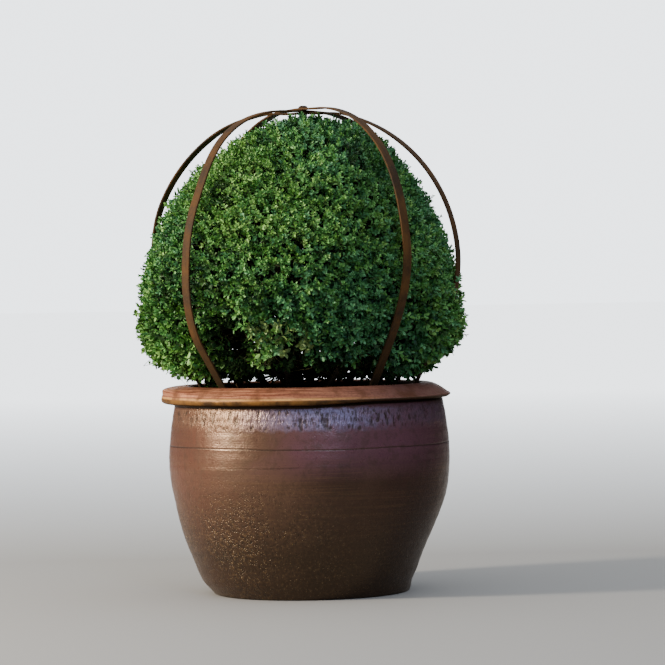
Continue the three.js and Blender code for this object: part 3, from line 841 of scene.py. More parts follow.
HOOPS = {
    "hoop_side": dict(
        azimuth=math.radians(-102), radius=0.401, hub=0.3919,
        near=bent_half(0.014, (66, 100), twist=17),
        far=bent_half(0.002, (43, 82), bow=-0.006, twist=-14)),
    "hoop_front_left": dict(
        azimuth=math.radians(-48.5), radius=0.402, hub=0.3977,
        near=bent_half(0.021, (38, 66), bow=0.014, foot_push=-0.011, twist=-5),
        far=bent_half(0.010, (43, 82), twist=8)),
    "hoop_front_right": dict(
        azimuth=math.radians(38.5), radius=0.408, hub=0.4035,
        near=bent_half(0.020, (43, 82), bow=-0.017, foot_push=-0.038, twist=-3),
        far=bent_half(0.010, (43, 82), twist=-8)),
}


def strip_radius(hoop, half, turn):
    """Radius of the strip's middle at an angle from its crest, on one half of the hoop."""
    degrees = np.degrees(turn)
    rise = smooth_step(degrees, *SHOULDER_RISE)
    swell = half["shoulder"] * rise * (1 - smooth_step(degrees, *half["fade"]))
    bow = half["bow"] * smooth_step(turn, BOW_TURN, LEG_TURN)
    pressed = (hoop["radius"] - hoop["hub"]) * np.exp(-((turn / HUB_SPREAD) ** 4))
    return hoop["radius"] - pressed + swell + bow


def leg_ends(hoop, half):
    """Reach and height of the arc's end, and of the foot below it."""
    radius = hoop["radius"]
    knee = radius + half["bow"]
    drop = HOOP_CENTRE - HOOP_FOOT + radius * math.cos(LEG_TURN)
    foot = radius * math.sin(LEG_TURN) + drop / math.tan(LEG_TURN) + half["foot_push"]
    knee_place = (knee * math.sin(LEG_TURN), HOOP_CENTRE + knee * math.cos(LEG_TURN))
    return knee_place, (foot, HOOP_FOOT)


def strip_path(hoop, share):
    """Reach and height of the strip's middle, for a share from -1 at one foot to 1 at the other."""
    side, half = (1, hoop["near"]) if share > 0 else (-1, hoop["far"])
    if abs(share) <= 1 - LEG_SHARE:
        turn = LEG_TURN * abs(share) / (1 - LEG_SHARE)
        middle = strip_radius(hoop, half, turn)
        return side * middle * math.sin(turn), HOOP_CENTRE + middle * math.cos(turn)
    knee, foot = leg_ends(hoop, half)
    down = (abs(share) - 1 + LEG_SHARE) / LEG_SHARE
    return side * (knee[0] + (foot[0] - knee[0]) * down), knee[1] + (foot[1] - knee[1]) * down


def strip_twist(half, share):
    """Turn of the strip about its own path: none at the bolt and at the foot."""
    return half["twist"] * smooth_step(share, 0.05, 0.30) * smooth_step(share, 1.0, 0.75)


# %% Hoop strips
STRIP_STEPS = 180
STRIP_WANDER = 0.0012
WORN_EDGE = 0.0009


def strip_piece(node, hoop):
    deselect_all()
    bpy.ops.mesh.primitive_grid_add(x_subdivisions=STRIP_STEPS, y_subdivisions=2, size=2)
    strip = bpy.context.object
    strip.name = node.replace("hoop", "strip")
    towards = Vector((math.sin(hoop["azimuth"]), -math.cos(hoop["azimuth"]), 0))
    sideways = Vector((math.cos(hoop["azimuth"]), math.sin(hoop["azimuth"]), 0))
    for vertex in strip.data.vertices:
        share, side = vertex.co.x, vertex.co.y
        reach, height = strip_path(hoop, share)
        twist = strip_twist(hoop["near" if share > 0 else "far"], abs(share))
        wander = STRIP_WANDER * math.sin(share * 9 + 40 * hoop["radius"])
        wander = wander * smooth_step(abs(share), 1.0, 0.75)
        aside = side * STRIP_WIDTH / 2 * math.cos(twist) + wander
        vertex.co = towards * reach + sideways * aside
        vertex.co.z = height
        outward = (vertex.co - Vector((0, 0, HOOP_CENTRE))).normalized()
        vertex.co += outward * (side * STRIP_WIDTH / 2 * math.sin(twist))
    thickness = strip.modifiers.new("thickness", "SOLIDIFY")
    thickness.thickness = STRIP_THICKNESS
    thickness.offset = 0.0
    edges = strip.modifiers.new("worn_edges", "BEVEL")
    edges.width = WORN_EDGE
    edges.segments = 2
    edges.limit_method = "ANGLE"
    for modifier in ("thickness", "worn_edges"):
        bpy.ops.object.modifier_apply(modifier=modifier)
    bpy.ops.object.shade_smooth_by_angle(angle=math.radians(35))
    return strip


# %% [markdown]
# ## Rust
# The steel is bare and rusted through weather: brown with orange patches and darker scale, quite
# dull. Streaks run down the strips as water did, so one noise is stretched in height. Low down,
# among the leaves, the steel is darker.

# %% Rust finish
def rust_finish(name, dark, light):
    f = Finish(name, light, 0.8, 0.15)
    place = f.place()
    _, _, height = f.axes(place)
    patches = f.noise(place, 11.0, 5.0, 0.65)
    grain = f.noise(place, 210.0, 4.0, 0.7)
    streaks = f.noise(f.stretch(place, (90, 90, 9)), 1.0, 3.0, 0.6)
    tone = f.mix(f.remap(patches, 0.36, 0.66), dark, light)
    tone = f.mix(f.times(f.remap(streaks, 0.5, 0.7), 0.5), tone, (36, 27, 19))
    tone = f.mix(f.times(f.remap(grain, 0.52, 0.7), 0.4), tone, (96, 70, 40))
    f.drive(f.mix(f.remap(height, 0.74, 0.60, 0.0, 0.6), tone, (38, 30, 15)), "Base Color")
    f.drive(f.remap(patches, 0.3, 0.7, 0.62, 0.85), "Roughness")
    f.drive(f.bump(grain, 0.0006, 0.8), "Normal")
    return f


rust = rust_finish("rusty_steel", (50, 35, 20), (90, 60, 28))
for node, hoop in HOOPS.items():
    dress(strip_piece(node, hoop), rust, "rusty_steel", node)
paint(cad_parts["hub_bolt"], rust_finish("dark_rusty_steel", (30, 22, 15), (52, 36, 22)))
print("hoops:", len(HOOPS))

# %% [markdown]
# ## The clipped outline
# Shears leave the shrub as a dome that is widest low down and tucked in underneath. Behind the
# front and back legs it stays just inside the cage, and at the sides it swells out past the hoops.
# Nearly the same rule shapes the frame's crown. All that grows below is placed against it.

# %% Outline of the crown
CROWN_TOP = 1.240
BELT_HEIGHT = 0.720
BELT_RADIUS = 0.426
DOME_CURVE = 1.8
TUCK = 0.34
TUCK_CURVE = 3.2
LEFT_FULLNESS = 0.035
UNDERSIDE_FRONT = 0.580
UNDERSIDE_SIDE = 0.547
UNDERSIDE_ARCH = 0.026
UNDERSIDE_SHARE = 0.24
CLIP_INSET = 0.010
LOW_SWAY = 0.012
TOP_SWAY = 0.018
NORMAL_STEP = 0.004
SIDE_SINES = (math.sin(math.radians(48)), math.sin(math.radians(72)))
CROWN_CENTRE = np.array([0.0, 0.0, 0.850])


def side_share(azimuth):
    """Zero at the front and back, and one at the sides."""
    return smooth_step(np.abs(np.sin(azimuth)), *SIDE_SINES)


def cage_radius(height):
    radius = HOOPS["hoop_side"]["radius"]
    leg_start = HOOP_CENTRE + radius * math.cos(LEG_TURN)
    arc = np.sqrt(np.maximum(0, radius**2 - (height - HOOP_CENTRE) ** 2))
    leg = radius * math.sin(LEG_TURN) + (leg_start - height) / math.tan(LEG_TURN)
    return np.where(height < leg_start, leg, arc)


def crown_radius(height, azimuth):
    rise = np.clip((height - BELT_HEIGHT) / (CROWN_TOP - BELT_HEIGHT), 0, 1)
    drop = np.clip((BELT_HEIGHT - height) / (BELT_HEIGHT - UNDERSIDE_SIDE), 0, None)
    share = (1 - rise**DOME_CURVE) ** 0.50 - TUCK * drop**TUCK_CURVE
    full = BELT_RADIUS * share * (1 - LEFT_FULLNESS * np.sin(azimuth))
    clipped = np.minimum(full, cage_radius(height) - CLIP_INSET)
    return clipped + (full - clipped) * side_share(azimuth)


def outline_points(share, azimuth):
    """Points of the outline, for a share from 0 under the middle to 1 at the top."""
    low = UNDERSIDE_FRONT + (UNDERSIDE_SIDE - UNDERSIDE_FRONT) * side_share(azimuth)
    reach = np.clip(share / UNDERSIDE_SHARE, 0, 1)
    climb = np.clip((share - UNDERSIDE_SHARE) / (1 - UNDERSIDE_SHARE), 0, 1)
    height = low + (CROWN_TOP - low) * np.sin(climb * np.pi / 2)
    height = height + UNDERSIDE_ARCH * (1 - reach**2)
    radius = reach * crown_radius(np.maximum(height, low), azimuth)
    sway = LOW_SWAY * np.clip((0.66 - height) / 0.08, 0, 1)
    sway = sway - TOP_SWAY * smooth_step(height, 1.09, 1.16)
    return np.stack([radius * np.sin(azimuth) - sway, -radius * np.cos(azimuth), height], axis=-1)


def outline_facing(share, azimuth, rise, turn):
    """Outward vectors as long as the area between steps up and around the outline."""
    up = outline_points(share + rise, azimuth) - outline_points(share - rise, azimuth)
    around = outline_points(share, azimuth + turn) - outline_points(share, azimuth - turn)
    return np.cross(around, up)


# %% [markdown]
# ## Leaves and shoots
# A box leaf is about 20 mm long, oval, leathery and folded a little along its midrib. Leaves sit in
# pairs, each pair turned a quarter from the last, and crowd together at the shoot's tip.
# A few shoots are made, each a little different, and copied thousands of times by arrays.

# %% One leaf and a few shoots
LEAF_LENGTH = 0.0200
LEAF_WIDTH = 0.0100
SHOOT_LENGTH = 0.056
SHOOT_KINDS = 12
PAIRS = 5
FIRST_PAIR = 0.36
YOUNG_FROM = 0.70
LEAF_CORNERS = np.array([
    (0, 0, 0), (0, 0.52, 0.05), (0, 1.0, -0.06),
    (-0.46, 0.30, 0.13), (-0.44, 0.76, 0.10), (0.46, 0.30, 0.13), (0.44, 0.76, 0.10),
])
LEAF_FACES = np.array([(0, 1, 3), (3, 1, 4), (4, 1, 2), (0, 5, 1), (5, 6, 1), (6, 2, 1)])


def turn_about(axis, angle):
    return np.array(Matrix.Rotation(angle, 3, Vector(axis))).T


def shoot_leaves(rng):
    """Leaf corners of one shoot that grows from the origin along Z, in the order of its leaves."""
    leaves = []
    for pair in range(PAIRS):
        along = FIRST_PAIR + (1 - FIRST_PAIR) * (pair / (PAIRS - 1)) ** 0.85
        young = max(0.0, along - YOUNG_FROM) / (1 - YOUNG_FROM)
        for side in (0, 1):
            length = LEAF_LENGTH * (1.0 - 0.30 * young) * rng.uniform(0.80, 1.12)
            width = LEAF_WIDTH * (1.0 - 0.28 * young) * rng.uniform(0.82, 1.12)
            lean = math.radians(rng.uniform(42, 72) - 30 * young)
            around = pair * math.pi / 2 + side * math.pi + rng.normal(0, 0.3)
            shape = LEAF_CORNERS * (width, length, length)
            shape = shape @ turn_about((0, 1, 0), rng.normal(0, 0.5))
            shape = shape @ turn_about((1, 0, 0), math.pi / 2 - lean)
            shape = shape @ turn_about((0, 0, 1), around)
            leaves.append(shape + (0, 0, along * SHOOT_LENGTH))
    return np.array(leaves)


shoot_rng = np.random.default_rng(11)
SHOOTS = [shoot_leaves(shoot_rng) for _ in range(SHOOT_KINDS)]
print("leaves on a shoot:", len(SHOOTS[0]))

# %% [markdown]
# ## Where the shoots stand
# Shoots cover the outline evenly, a few centimetres deep. Where the shears pass, over the top and
# the sides, they are short and tight with small leaves. Low down they are longer, and they hang a
# little. Some sit deeper and close the view through the crown. The shaded underside is thin, with
# dark hollows at the front and the back, and daylight comes through there.

# %% Places for the shoots
OUTER_SHOOTS = 13200
INNER_SHOOTS = 1800
LOW_SHOOTS = 64
OUTER_DEPTHS = (0.004, 0.028)
INNER_DEPTHS = (0.050, 0.120)
LOW_DEPTH = 0.10
UNDER_FILL = 0.60
INNER_UNDER_FILL = 0.15
INSIDE_DEPTH = 0.045
LUMP_DEPTH = 0.011
HANGING = 0.026
# Leaf sizes: at the top, how much more low down, the spread by chance, inside and at the bottom.
TIGHT_SIZE = 0.66
LOW_GAIN = 0.34
SIZE_SPREAD = (0.86, 1.14)
INSIDE_SIZE = 1.45
BOTTOM_SIZE = 0.95
GRID_ROWS = 180
GRID_COLUMNS = 360
# Middle and half width, in metres to the right, of the gaps that stay open under the crown.
DAYLIGHT = [(-0.182, 0.014), (-0.096, 0.034), (0.025, 0.016), (0.061, 0.010), (0.127, 0.018),
            (0.213, 0.014)]
# Each hollow: azimuth in degrees, height, half width in degrees, half height, share of shoots lost.
HOLLOWS = [
    (-36, 0.640, 10, 0.085, 0.97), (-6, 0.608, 6, 0.050, 0.90), (-14, 0.582, 13, 0.040, 0.90),
    (10, 0.578, 13, 0.036, 0.88), (33, 0.582, 9, 0.034, 0.80), (148, 0.582, 24, 0.046, 0.94),
    (180, 0.582, 20, 0.046, 0.94), (-150, 0.582, 22, 0.046, 0.94),
]


def surface_cells():
    """Place and area of small patches over the whole outline."""
    share = (np.arange(GRID_ROWS) + 0.5) / GRID_ROWS
    azimuth = (np.arange(GRID_COLUMNS) + 0.5) / GRID_COLUMNS * 2 * np.pi
    share, azimuth = (grid.ravel() for grid in np.meshgrid(share, azimuth, indexing="ij"))
    facing = outline_facing(share, azimuth, 0.5 / GRID_ROWS, np.pi / GRID_COLUMNS)
    return share, azimuth, np.linalg.norm(facing, axis=1)


def low_share(height):
    """One low on the crown and zero where the shears keep it tight."""
    return np.clip((0.80 - height) / 0.14, 0, 1)


def spot_values(points, spots):
    """Value of each soft-edged spot at each point, one row for a spot."""
    azimuth = np.degrees(np.arctan2(points[:, 0], -points[:, 1]))
    rows = []
    for middle, height, half_width, half_height, value in spots:
        aside = (azimuth - middle + 180) % 360 - 180
        far = (aside / half_width) ** 2 + ((points[:, 2] - height) / half_height) ** 2
        rows.append(value * np.exp(-(far**2)))
    return np.array(rows)


def hollow_loss(points):
    return spot_values(points, HOLLOWS).max(axis=0)


def shoot_places(rng, count, depths, under_fill, hollow_share, hanging):
    share, azimuth, area = surface_cells()
    middle = outline_points(share, azimuth)
    weight = area * np.where(share < UNDERSIDE_SHARE, under_fill, 1.0)
    weight *= 1 - hollow_loss(middle) * hollow_share
    weight *= 1 - 0.35 * low_share(middle[:, 2])
    chosen = rng.choice(len(share), size=count, p=weight / weight.sum())
    share = np.clip(share[chosen] + rng.uniform(-0.5, 0.5, count) / GRID_ROWS, 0.001, 0.999)
    azimuth = azimuth[chosen] + rng.uniform(-0.5, 0.5, count) * 2 * np.pi / GRID_COLUMNS
    normal = unit(outline_facing(share, azimuth, NORMAL_STEP, NORMAL_STEP))
    lumps = LUMP_DEPTH * np.clip(1.3 * uneven(rng, 24, 14, azimuth, share), 0, 1)
    depth = rng.uniform(*depths, count) + 0.004 * rng.normal(size=count) + lumps
    drop = (share < 0.85 * UNDERSIDE_SHARE) * rng.uniform(0, HANGING, count) * hanging
    tips = outline_points(share, azimuth) - normal * depth[:, None]
    tips[:, 2] -= drop
    # Shoots grow out of the surface and away from the middle, astray by chance, and a bit upwards.
    radial = unit(tips - CROWN_CENTRE)
    grow = 0.7 * normal + 0.3 * radial + 0.38 * rng.normal(size=(count, 3)) + (0, 0, 0.22)
    return tips, unit(grow), depth


def low_shoot_places(rng, count):
    """Sparse shoots that hang between the stems. Where daylight comes through there are none."""
    azimuth = rng.uniform(-np.pi, np.pi, count)
    reach = rng.uniform(0.10, 0.27, count)
    height = rng.uniform(0.548, 0.588, count)
    tips = np.stack([reach * np.sin(azimuth), -reach * np.cos(azimuth), height], axis=1)
    for middle, half_width in DAYLIGHT:
        tips = tips[np.abs(tips[:, 0] - middle) > half_width]
    grow = tips * (1.6, 1.6, 0) + 0.5 * rng.normal(size=tips.shape) + (0, 0, -0.6)
    return tips, unit(grow), np.full(len(tips), LOW_DEPTH)


def standing_frames(rng, directions, sizes):
    """Matrices that turn Z along each direction with a random spin, scaled by a size."""
    helper = np.where(np.abs(directions[:, 2:]) < 0.9, (0, 0, 1.0), (1.0, 0, 0))
    first = unit(np.cross(helper, directions))
    second = np.cross(directions, first)
    spin = rng.random(len(directions)) * 2 * np.pi
    x_axis = first * np.cos(spin)[:, None] + second * np.sin(spin)[:, None]
    y_axis = np.cross(directions, x_axis)
    return np.stack([x_axis, y_axis, directions], axis=2) * sizes[:, None, None]


place_rng = np.random.default_rng(23)
outer = shoot_places(place_rng, OUTER_SHOOTS, OUTER_DEPTHS, UNDER_FILL, 1.0, True)
inner = shoot_places(place_rng, INNER_SHOOTS, INNER_DEPTHS, INNER_UNDER_FILL, 0.7, False)
low = low_shoot_places(np.random.default_rng(61), LOW_SHOOTS)
tips, growth, depths = (np.concatenate(group) for group in zip(outer, inner, low))
sizes = TIGHT_SIZE + LOW_GAIN * low_share(tips[:, 2])
sizes = sizes * place_rng.uniform(*SIZE_SPREAD, len(tips))
sizes = np.where(depths > INSIDE_DEPTH, INSIDE_SIZE, sizes)
sizes[-len(low[0]):] = BOTTOM_SIZE
roots = tips - growth * (sizes * SHOOT_LENGTH)[:, None]
turns = standing_frames(place_rng, growth, sizes)
kinds = place_rng.integers(0, SHOOT_KINDS, len(tips))
print("shoots:", len(tips))

# %% [markdown]
# ## Room for steel and clay
# Leaves don't pass through steel. Each leaf with a corner inside a strip, or in the pot's lip, is
# left out, so the hoops lie in the foliage with leaves closing round them.

# %% Leaves that would touch steel or clay
STRIP_CLEARANCE = 0.0015
SHEARS_REACH = 0.022
LIP_CLEARANCE = 0.002
SOIL_CLEARANCE = 0.010


def touches_strip(points):
    hit = np.zeros(points.shape[:-1], bool)
    x, y, z = np.moveaxis(points, -1, 0)
    above = z - HOOP_CENTRE
    for hoop in HOOPS.values():
        across = x * math.cos(hoop["azimuth"]) + y * math.sin(hoop["azimuth"])
        along = x * math.sin(hoop["azimuth"]) - y * math.cos(hoop["azimuth"])
        turn = np.arctan2(np.abs(along), above)
        on_arc = turn < LEG_TURN
        for side, half in ((1, hoop["near"]), (-1, hoop["far"])):
            (knee_reach, knee), (foot_reach, foot) = leg_ends(hoop, half)
            down = (knee - z) / (knee - foot)
            arc_share = turn / LEG_TURN * (1 - LEG_SHARE)
            share = np.where(on_arc, arc_share, 1 - LEG_SHARE + LEG_SHARE * down)
            arc_offset = np.hypot(along, above) - strip_radius(hoop, half, turn)
            leg_offset = along * side - knee_reach - (foot_reach - knee_reach) * down
            offset = np.where(on_arc, arc_offset, leg_offset * math.sin(LEG_TURN))
            gap = np.abs(offset - across * np.tan(strip_twist(half, share)))
            close = np.abs(across) < STRIP_WIDTH / 2 + STRIP_CLEARANCE
            close &= gap < STRIP_THICKNESS / 2 + STRIP_CLEARANCE
            hit |= close & (along * side > 0)
    return hit


def past_shears(points):
    """Tips that stand more than 22 mm out of the frame's box are cut off."""
    low, high = (np.array(corner) for corner in frame_box)
    return ((points < low - SHEARS_REACH) | (points > high + SHEARS_REACH)).any(axis=-1)


def touches_pot(points):
    radius = np.hypot(points[..., 0], points[..., 1])
    lip = (radius > MOUTH_RADIUS - 0.004) & (points[..., 2] < POT_HEIGHT + LIP_CLEARANCE)
    return lip | (points[..., 2] < SOIL_HEIGHT + SOIL_CLEARANCE)


def stands_free(points):
    """Whether none of a leaf's or a twig's points is in the way."""
    return ~(touches_strip(points) | touches_pot(points) | past_shears(points)).any(axis=-1)


# %% [markdown]
# ## Leaf colours
# A box bush isn't one green. Patches of it are yellower, mostly on the sunny left, and others
# bluer. In every patch there are dark old leaves and light young ones, and that lightness also
# carries painted shade deeper in and low down, painted light and shade in listed patches, and a
# little painted light towards the right. Tufts low in front are olive, and what sits inside or in
# the hollows is painted nearly black as shade. Each shoot gets one plain colour by its place and a
# chance draw. All leaves of one colour are joined into one piece.

# %% Leaf colours
LEAF_TONES = {
    "leaves_cool_dark": (34, 72, 39),
    "leaves_cool_mid": (54, 107, 57),
    "leaves_cool_light": (90, 146, 90),
    "leaves_true_dark": (41, 77, 31),
    "leaves_true_mid": (66, 118, 48),
    "leaves_true_light": (102, 157, 78),
    "leaves_warm_dark": (52, 86, 30),
    "leaves_warm_mid": (81, 129, 46),
    "leaves_warm_light": (121, 166, 80),
    "leaves_olive": (114, 138, 76),
    # Nearly black: painted shade for shoots deep inside and in the hollows.
    "leaves_in_painted_shade": (20, 36, 15),
}
OLIVE = 9
INSIDE = 10
LEAF_SHINE = dict(roughness=0.5, specular=0.4)
# Shoots in painted shade are also left without shine.
INSIDE_SHINE = dict(roughness=0.9, specular=0.05)
FAMILY_LIMITS = (-0.40, 0.45)
LIGHT_LIMITS = (0.12, 0.62)
# Each patch of painted light and shade: azimuth in degrees, height, half width in degrees, half
# height, and how much lighter (painted light) or darker (painted shade).
LIGHT_AND_SHADE_PATCHES = [
    (-42, 1.040, 7, 0.050, -0.55), (13, 1.090, 14, 0.050, 0.45), (5, 0.810, 5, 0.035, 0.45),
    (-21, 0.970, 16, 0.050, 0.22), (-13, 0.755, 10, 0.035, -0.25), (-60, 0.800, 9, 0.060, -0.30),
    (-70, 0.620, 10, 0.050, 0.40), (-43, 0.780, 8, 0.120, -0.40), (5, 0.935, 6, 0.050, 0.45),
    (-45, 0.590, 9, 0.040, -0.30), (-16, 0.655, 8, 0.040, 0.45), (31, 1.130, 9, 0.040, -0.30),
    (140, 0.930, 20, 0.080, 0.30), (-150, 1.000, 15, 0.070, -0.40), (175, 0.760, 14, 0.060, -0.30),
    (-125, 0.780, 16, 0.060, 0.30), (95, 0.880, 14, 0.070, 0.25),
]


def deal_tones(rng, tips, depths):
    """A colour for each shoot: patches of hue, a chance draw of lightness with painted shade deeper
    in and low down, painted light and shade in patches, and painted shade in hollows.
    """
    count = len(tips)
    x, y, z = tips.T
    patch = np.sin(11 * x + 3 * z + 1.0) + np.sin(9 * y - 8 * z + 0.5)
    patch = patch + np.sin(12 * z + 7 * x + 2.2)
    family = np.digitize(0.35 * patch - 1.1 * x + rng.normal(0, 0.5, count), FAMILY_LIMITS)
    # Lightness: a chance draw for old and young leaves, lowered as painted shade deeper in and low
    # down.
    light = rng.random(count) - 9 * np.clip(depths - 0.010, 0, 0.03) - 0.20 * low_share(z) + 0.08
    # Painted light and shade in the listed patches, and a little painted light towards the right.
    light += spot_values(tips, LIGHT_AND_SHADE_PATCHES).sum(axis=0) + 0.10 * np.clip(x / 0.2, 0, 1)
    tone = family * 3 + np.digitize(light, LIGHT_LIMITS)
    turn = np.degrees(np.arctan2(x, -y))
    tuft = (np.abs(turn + 12) < 13) & (z > 0.575) & (z < 0.700)
    tone = np.where(tuft & (rng.random(count) < 0.45), OLIVE, tone)
    # Shoots in the hollows and deep inside get the nearly black tone: painted shade.
    shaded = hollow_loss(tips) > 0.25 + 0.5 * rng.random(count)
    return np.where((depths > INSIDE_DEPTH) | shaded, INSIDE, tone)


tones = deal_tones(np.random.default_rng(31), tips, depths)
tone_leaves = [[] for _ in LEAF_TONES]
for kind, shoot in enumerate(SHOOTS):
    picked = np.flatnonzero(kinds == kind)
    leaves = np.einsum("nij,lvj->nlvi", turns[picked], shoot) + roots[picked][:, None, None, :]
    free = stands_free(leaves)
    for tone, groups in enumerate(tone_leaves):
        mine = tones[picked] == tone
        groups.append(leaves[mine][free[mine]])

for (name, colour), groups in zip(LEAF_TONES.items(), tone_leaves):
    leaves = np.concatenate(groups)
    shine = INSIDE_SHINE if name == "leaves_in_painted_shade" else LEAF_SHINE
    piece = joined_copies(name, leaves, LEAF_FACES, smooth=True)
    dress(piece, Finish(name, colour, **shine), "leaves", "crown")
    print(name, "leaves:", len(leaves), "triangles:", len(leaves) * len(LEAF_FACES))

# %% [markdown]
# ## Stems, boughs and twigs
# Seven stems lean out of the soil, flared where they leave it. Above them boughs spread to all
# sides, twigs leave the boughs, and each shoot hangs on the twig nearest to its root. Limbs are
# rings along a curved path with a bumpy radius, which gives the ridges of old bark.

# %% Limb meshes
# A slanting direction that no limb follows for long, so that every ring can be squared to it.
SLANT = np.array((0.36, 0.48, 0.80))


def ring_corners(first, second, around):
    """Directions round a ring, from two that are square to each other."""
    along_first = first[..., None, :] * np.cos(around)[:, None]
    return along_first + second[..., None, :] * np.sin(around)[:, None]


def tube_faces(rings, sides):
    """Triangles of a tube with closed ends, whose corners are numbered ring by ring."""
    index = np.arange(rings * sides).reshape(rings, sides)
    beside = np.roll(index, -1, axis=1)
    lower = np.stack([index[:-1], beside[:-1], beside[1:]], axis=-1).reshape(-1, 3)
    upper = np.stack([index[:-1], beside[1:], index[1:]], axis=-1).reshape(-1, 3)
    foot, head = index[0], index[-1]
    ends = [(foot[0], foot[k + 1], foot[k]) for k in range(1, sides - 1)]
    ends += [(head[0], head[k], head[k + 1]) for k in range(1, sides - 1)]
    return np.concatenate([lower, upper, ends])


class Limbs:
    """Collects tapered tubes along paths and joins them into one mesh."""

    def __init__(self):
        self.vertices, self.faces, self.count = [], [], 0

    def tube(self, path, radii, sides, ridges=0.0):
        ahead = unit(np.gradient(path, axis=0))
        first = unit(np.cross(ahead, SLANT))
        around = np.arange(sides) * 2 * np.pi / sides
        relief = ridges * np.sin(3 * around[None] + 40 * path[:, 2:])
        relief = 1 + relief * np.sin(5 * around[None] + path[:, :1] * 90)
        ring = ring_corners(first, np.cross(ahead, first), around)
        points = path[:, None] + ring * (radii[:, None] * relief)[..., None]
        self.vertices.append(points.reshape(-1, 3))
        self.faces.append(self.count + tube_faces(len(path), sides))
        self.count += len(path) * sides

    def piece(self, name, smooth):
        vertices, faces = np.concatenate(self.vertices), np.concatenate(self.faces)
        return joined_piece(name, vertices, faces, smooth)


def bent_path(start, end, pull, steps):
    """Points of a curve from start to end that is drawn towards a third point."""
    t = np.linspace(0, 1, steps)[:, None]
    return (1 - t) ** 2 * start + 2 * t * (1 - t) * pull + t**2 * end


def wavering(rng, path, sway):
    """The same path, with all but its ends moved a little by chance."""
    path[1:-1] += rng.normal(0, sway, path[1:-1].shape)
    return path


def round_place(reach, azimuth, height):
    return np.array((reach * math.sin(azimuth), -reach * math.cos(azimuth), height))


# %% Stems
STEM_COUNT = 7
STEM_FOOT_SPREAD = 0.105
STEM_HEAD_SPREAD = 0.205
STEM_HEAD_HEIGHT = 0.602
STEM_FOOT_RADIUS = 0.013
STEM_HEAD_RADIUS = 0.008
STEM_FLARE = 0.7
FLARE_HEIGHT = 0.016
STEM_TURN = 0.12
FIRST_STEM_AZIMUTH = math.radians(-84)
GOLDEN_ANGLE = math.pi * (3 - math.sqrt(5))


def grow_stems():
    limbs = Limbs()
    heads = []
    share = np.linspace(0, 1, 26)[:, None]
    bend = 0.75 * share + 0.25 * share**2
    rise = share[:, 0] * (STEM_HEAD_HEIGHT - SOIL_HEIGHT)
    taper = STEM_FOOT_RADIUS + (STEM_HEAD_RADIUS - STEM_FOOT_RADIUS) * share[:, 0]
    for index in range(STEM_COUNT):
        spread = math.sqrt((index + 0.5) / STEM_COUNT)
        azimuth = FIRST_STEM_AZIMUTH + index * GOLDEN_ANGLE
        size = 1 - 0.05 * index
        foot = round_place(STEM_FOOT_SPREAD * spread, azimuth, SOIL_HEIGHT)
        head = round_place(STEM_HEAD_SPREAD * spread, azimuth + STEM_TURN, STEM_HEAD_HEIGHT)
        path = foot + (head - foot) * np.concatenate([bend, bend, share], axis=1)
        radii = size * taper * (1 + STEM_FLARE * np.exp(-rise / FLARE_HEIGHT))
        limbs.tube(path, radii, 14, 0.13)
        heads.append((head, size * STEM_HEAD_RADIUS, head - foot))
    return limbs, heads


stems, stem_heads = grow_stems()

# %% Boughs and twigs
BOUGH_COUNT = 70
TWIG_COUNT = 620
BARE_TWIG_COUNT = 90
BOUGH_INSET = 0.140
TWIG_INSET = 0.072
LEADER_TIP_RADIUS = 0.0036
BOUGH_RADII = (0.0048, 0.0024)
TWIG_RADII = (0.0026, 0.0011)
BARE_TWIG_RADII = (0.0022, 0.0011)
LIMB_SWAY = 0.003
BARE_TWIG_SWAY = 0.0025


def inset_targets(rng, count, inset):
    """Even points under the outline, drawn towards the crown's middle."""
    even = (np.arange(count) + 0.5) / count
    share = 0.06 + 0.93 * np.arccos(1 - 2 * even) / np.pi
    azimuth = np.arange(count) * GOLDEN_ANGLE + rng.normal(0, 0.08, count)
    points = outline_points(share, azimuth)
    outward = points - CROWN_CENTRE
    return points - outward * (inset / np.linalg.norm(outward, axis=1))[:, None]


def nearest_finder(points):
    """A function that gives the index of the point nearest to a place."""
    tree = kdtree.KDTree(len(points))
    for index, point in enumerate(points):
        tree.insert(point, index)
    tree.balance()
    return lambda place: tree.find(place)[1]


def grow_leaders(limbs, rng):
    """Each stem goes on into one leader that climbs towards the top of the crown."""
    knots, knot_radii = [], []
    for head, radius, direction in stem_heads:
        away = direction[:2] * 0.5
        end = np.array((head[0] + away[0], head[1] + away[1], 0.94 + 0.06 * rng.random()))
        pull = (head + end) / 2 + (*(away * 0.5), 0)
        path = wavering(rng, bent_path(head, end, pull, 20), LIMB_SWAY)
        radii = np.linspace(radius, LEADER_TIP_RADIUS, len(path))
        limbs.tube(path, radii, 10, 0.12)
        knots.extend(path[1:])
        knot_radii.extend(radii[1:])
    return np.array(knots), np.array(knot_radii)


def grow_boughs(limbs, rng, leader_knots, leader_radii):
    nearest = nearest_finder(leader_knots)
    thick, thin = BOUGH_RADII
    knots, knot_radii = [leader_knots], [leader_radii]
    for target in inset_targets(rng, BOUGH_COUNT, BOUGH_INSET):
        start = target * (0.35, 0.35, 1.0) - (0, 0, 0.10 + 0.10 * rng.random())
        index = nearest(start)
        root = leader_knots[index]
        pull = (root + target) / 2 + (0, 0, 0.02 - 0.06 * rng.random())
        path = wavering(rng, bent_path(root, target, pull, 12), LIMB_SWAY)
        radii = np.linspace(min(thick, leader_radii[index] * 0.8), thin, len(path))
        limbs.tube(path, radii, 7, 0.10)
        knots.append(path[2:])
        knot_radii.append(radii[2:])
    return np.concatenate(knots), np.concatenate(knot_radii)


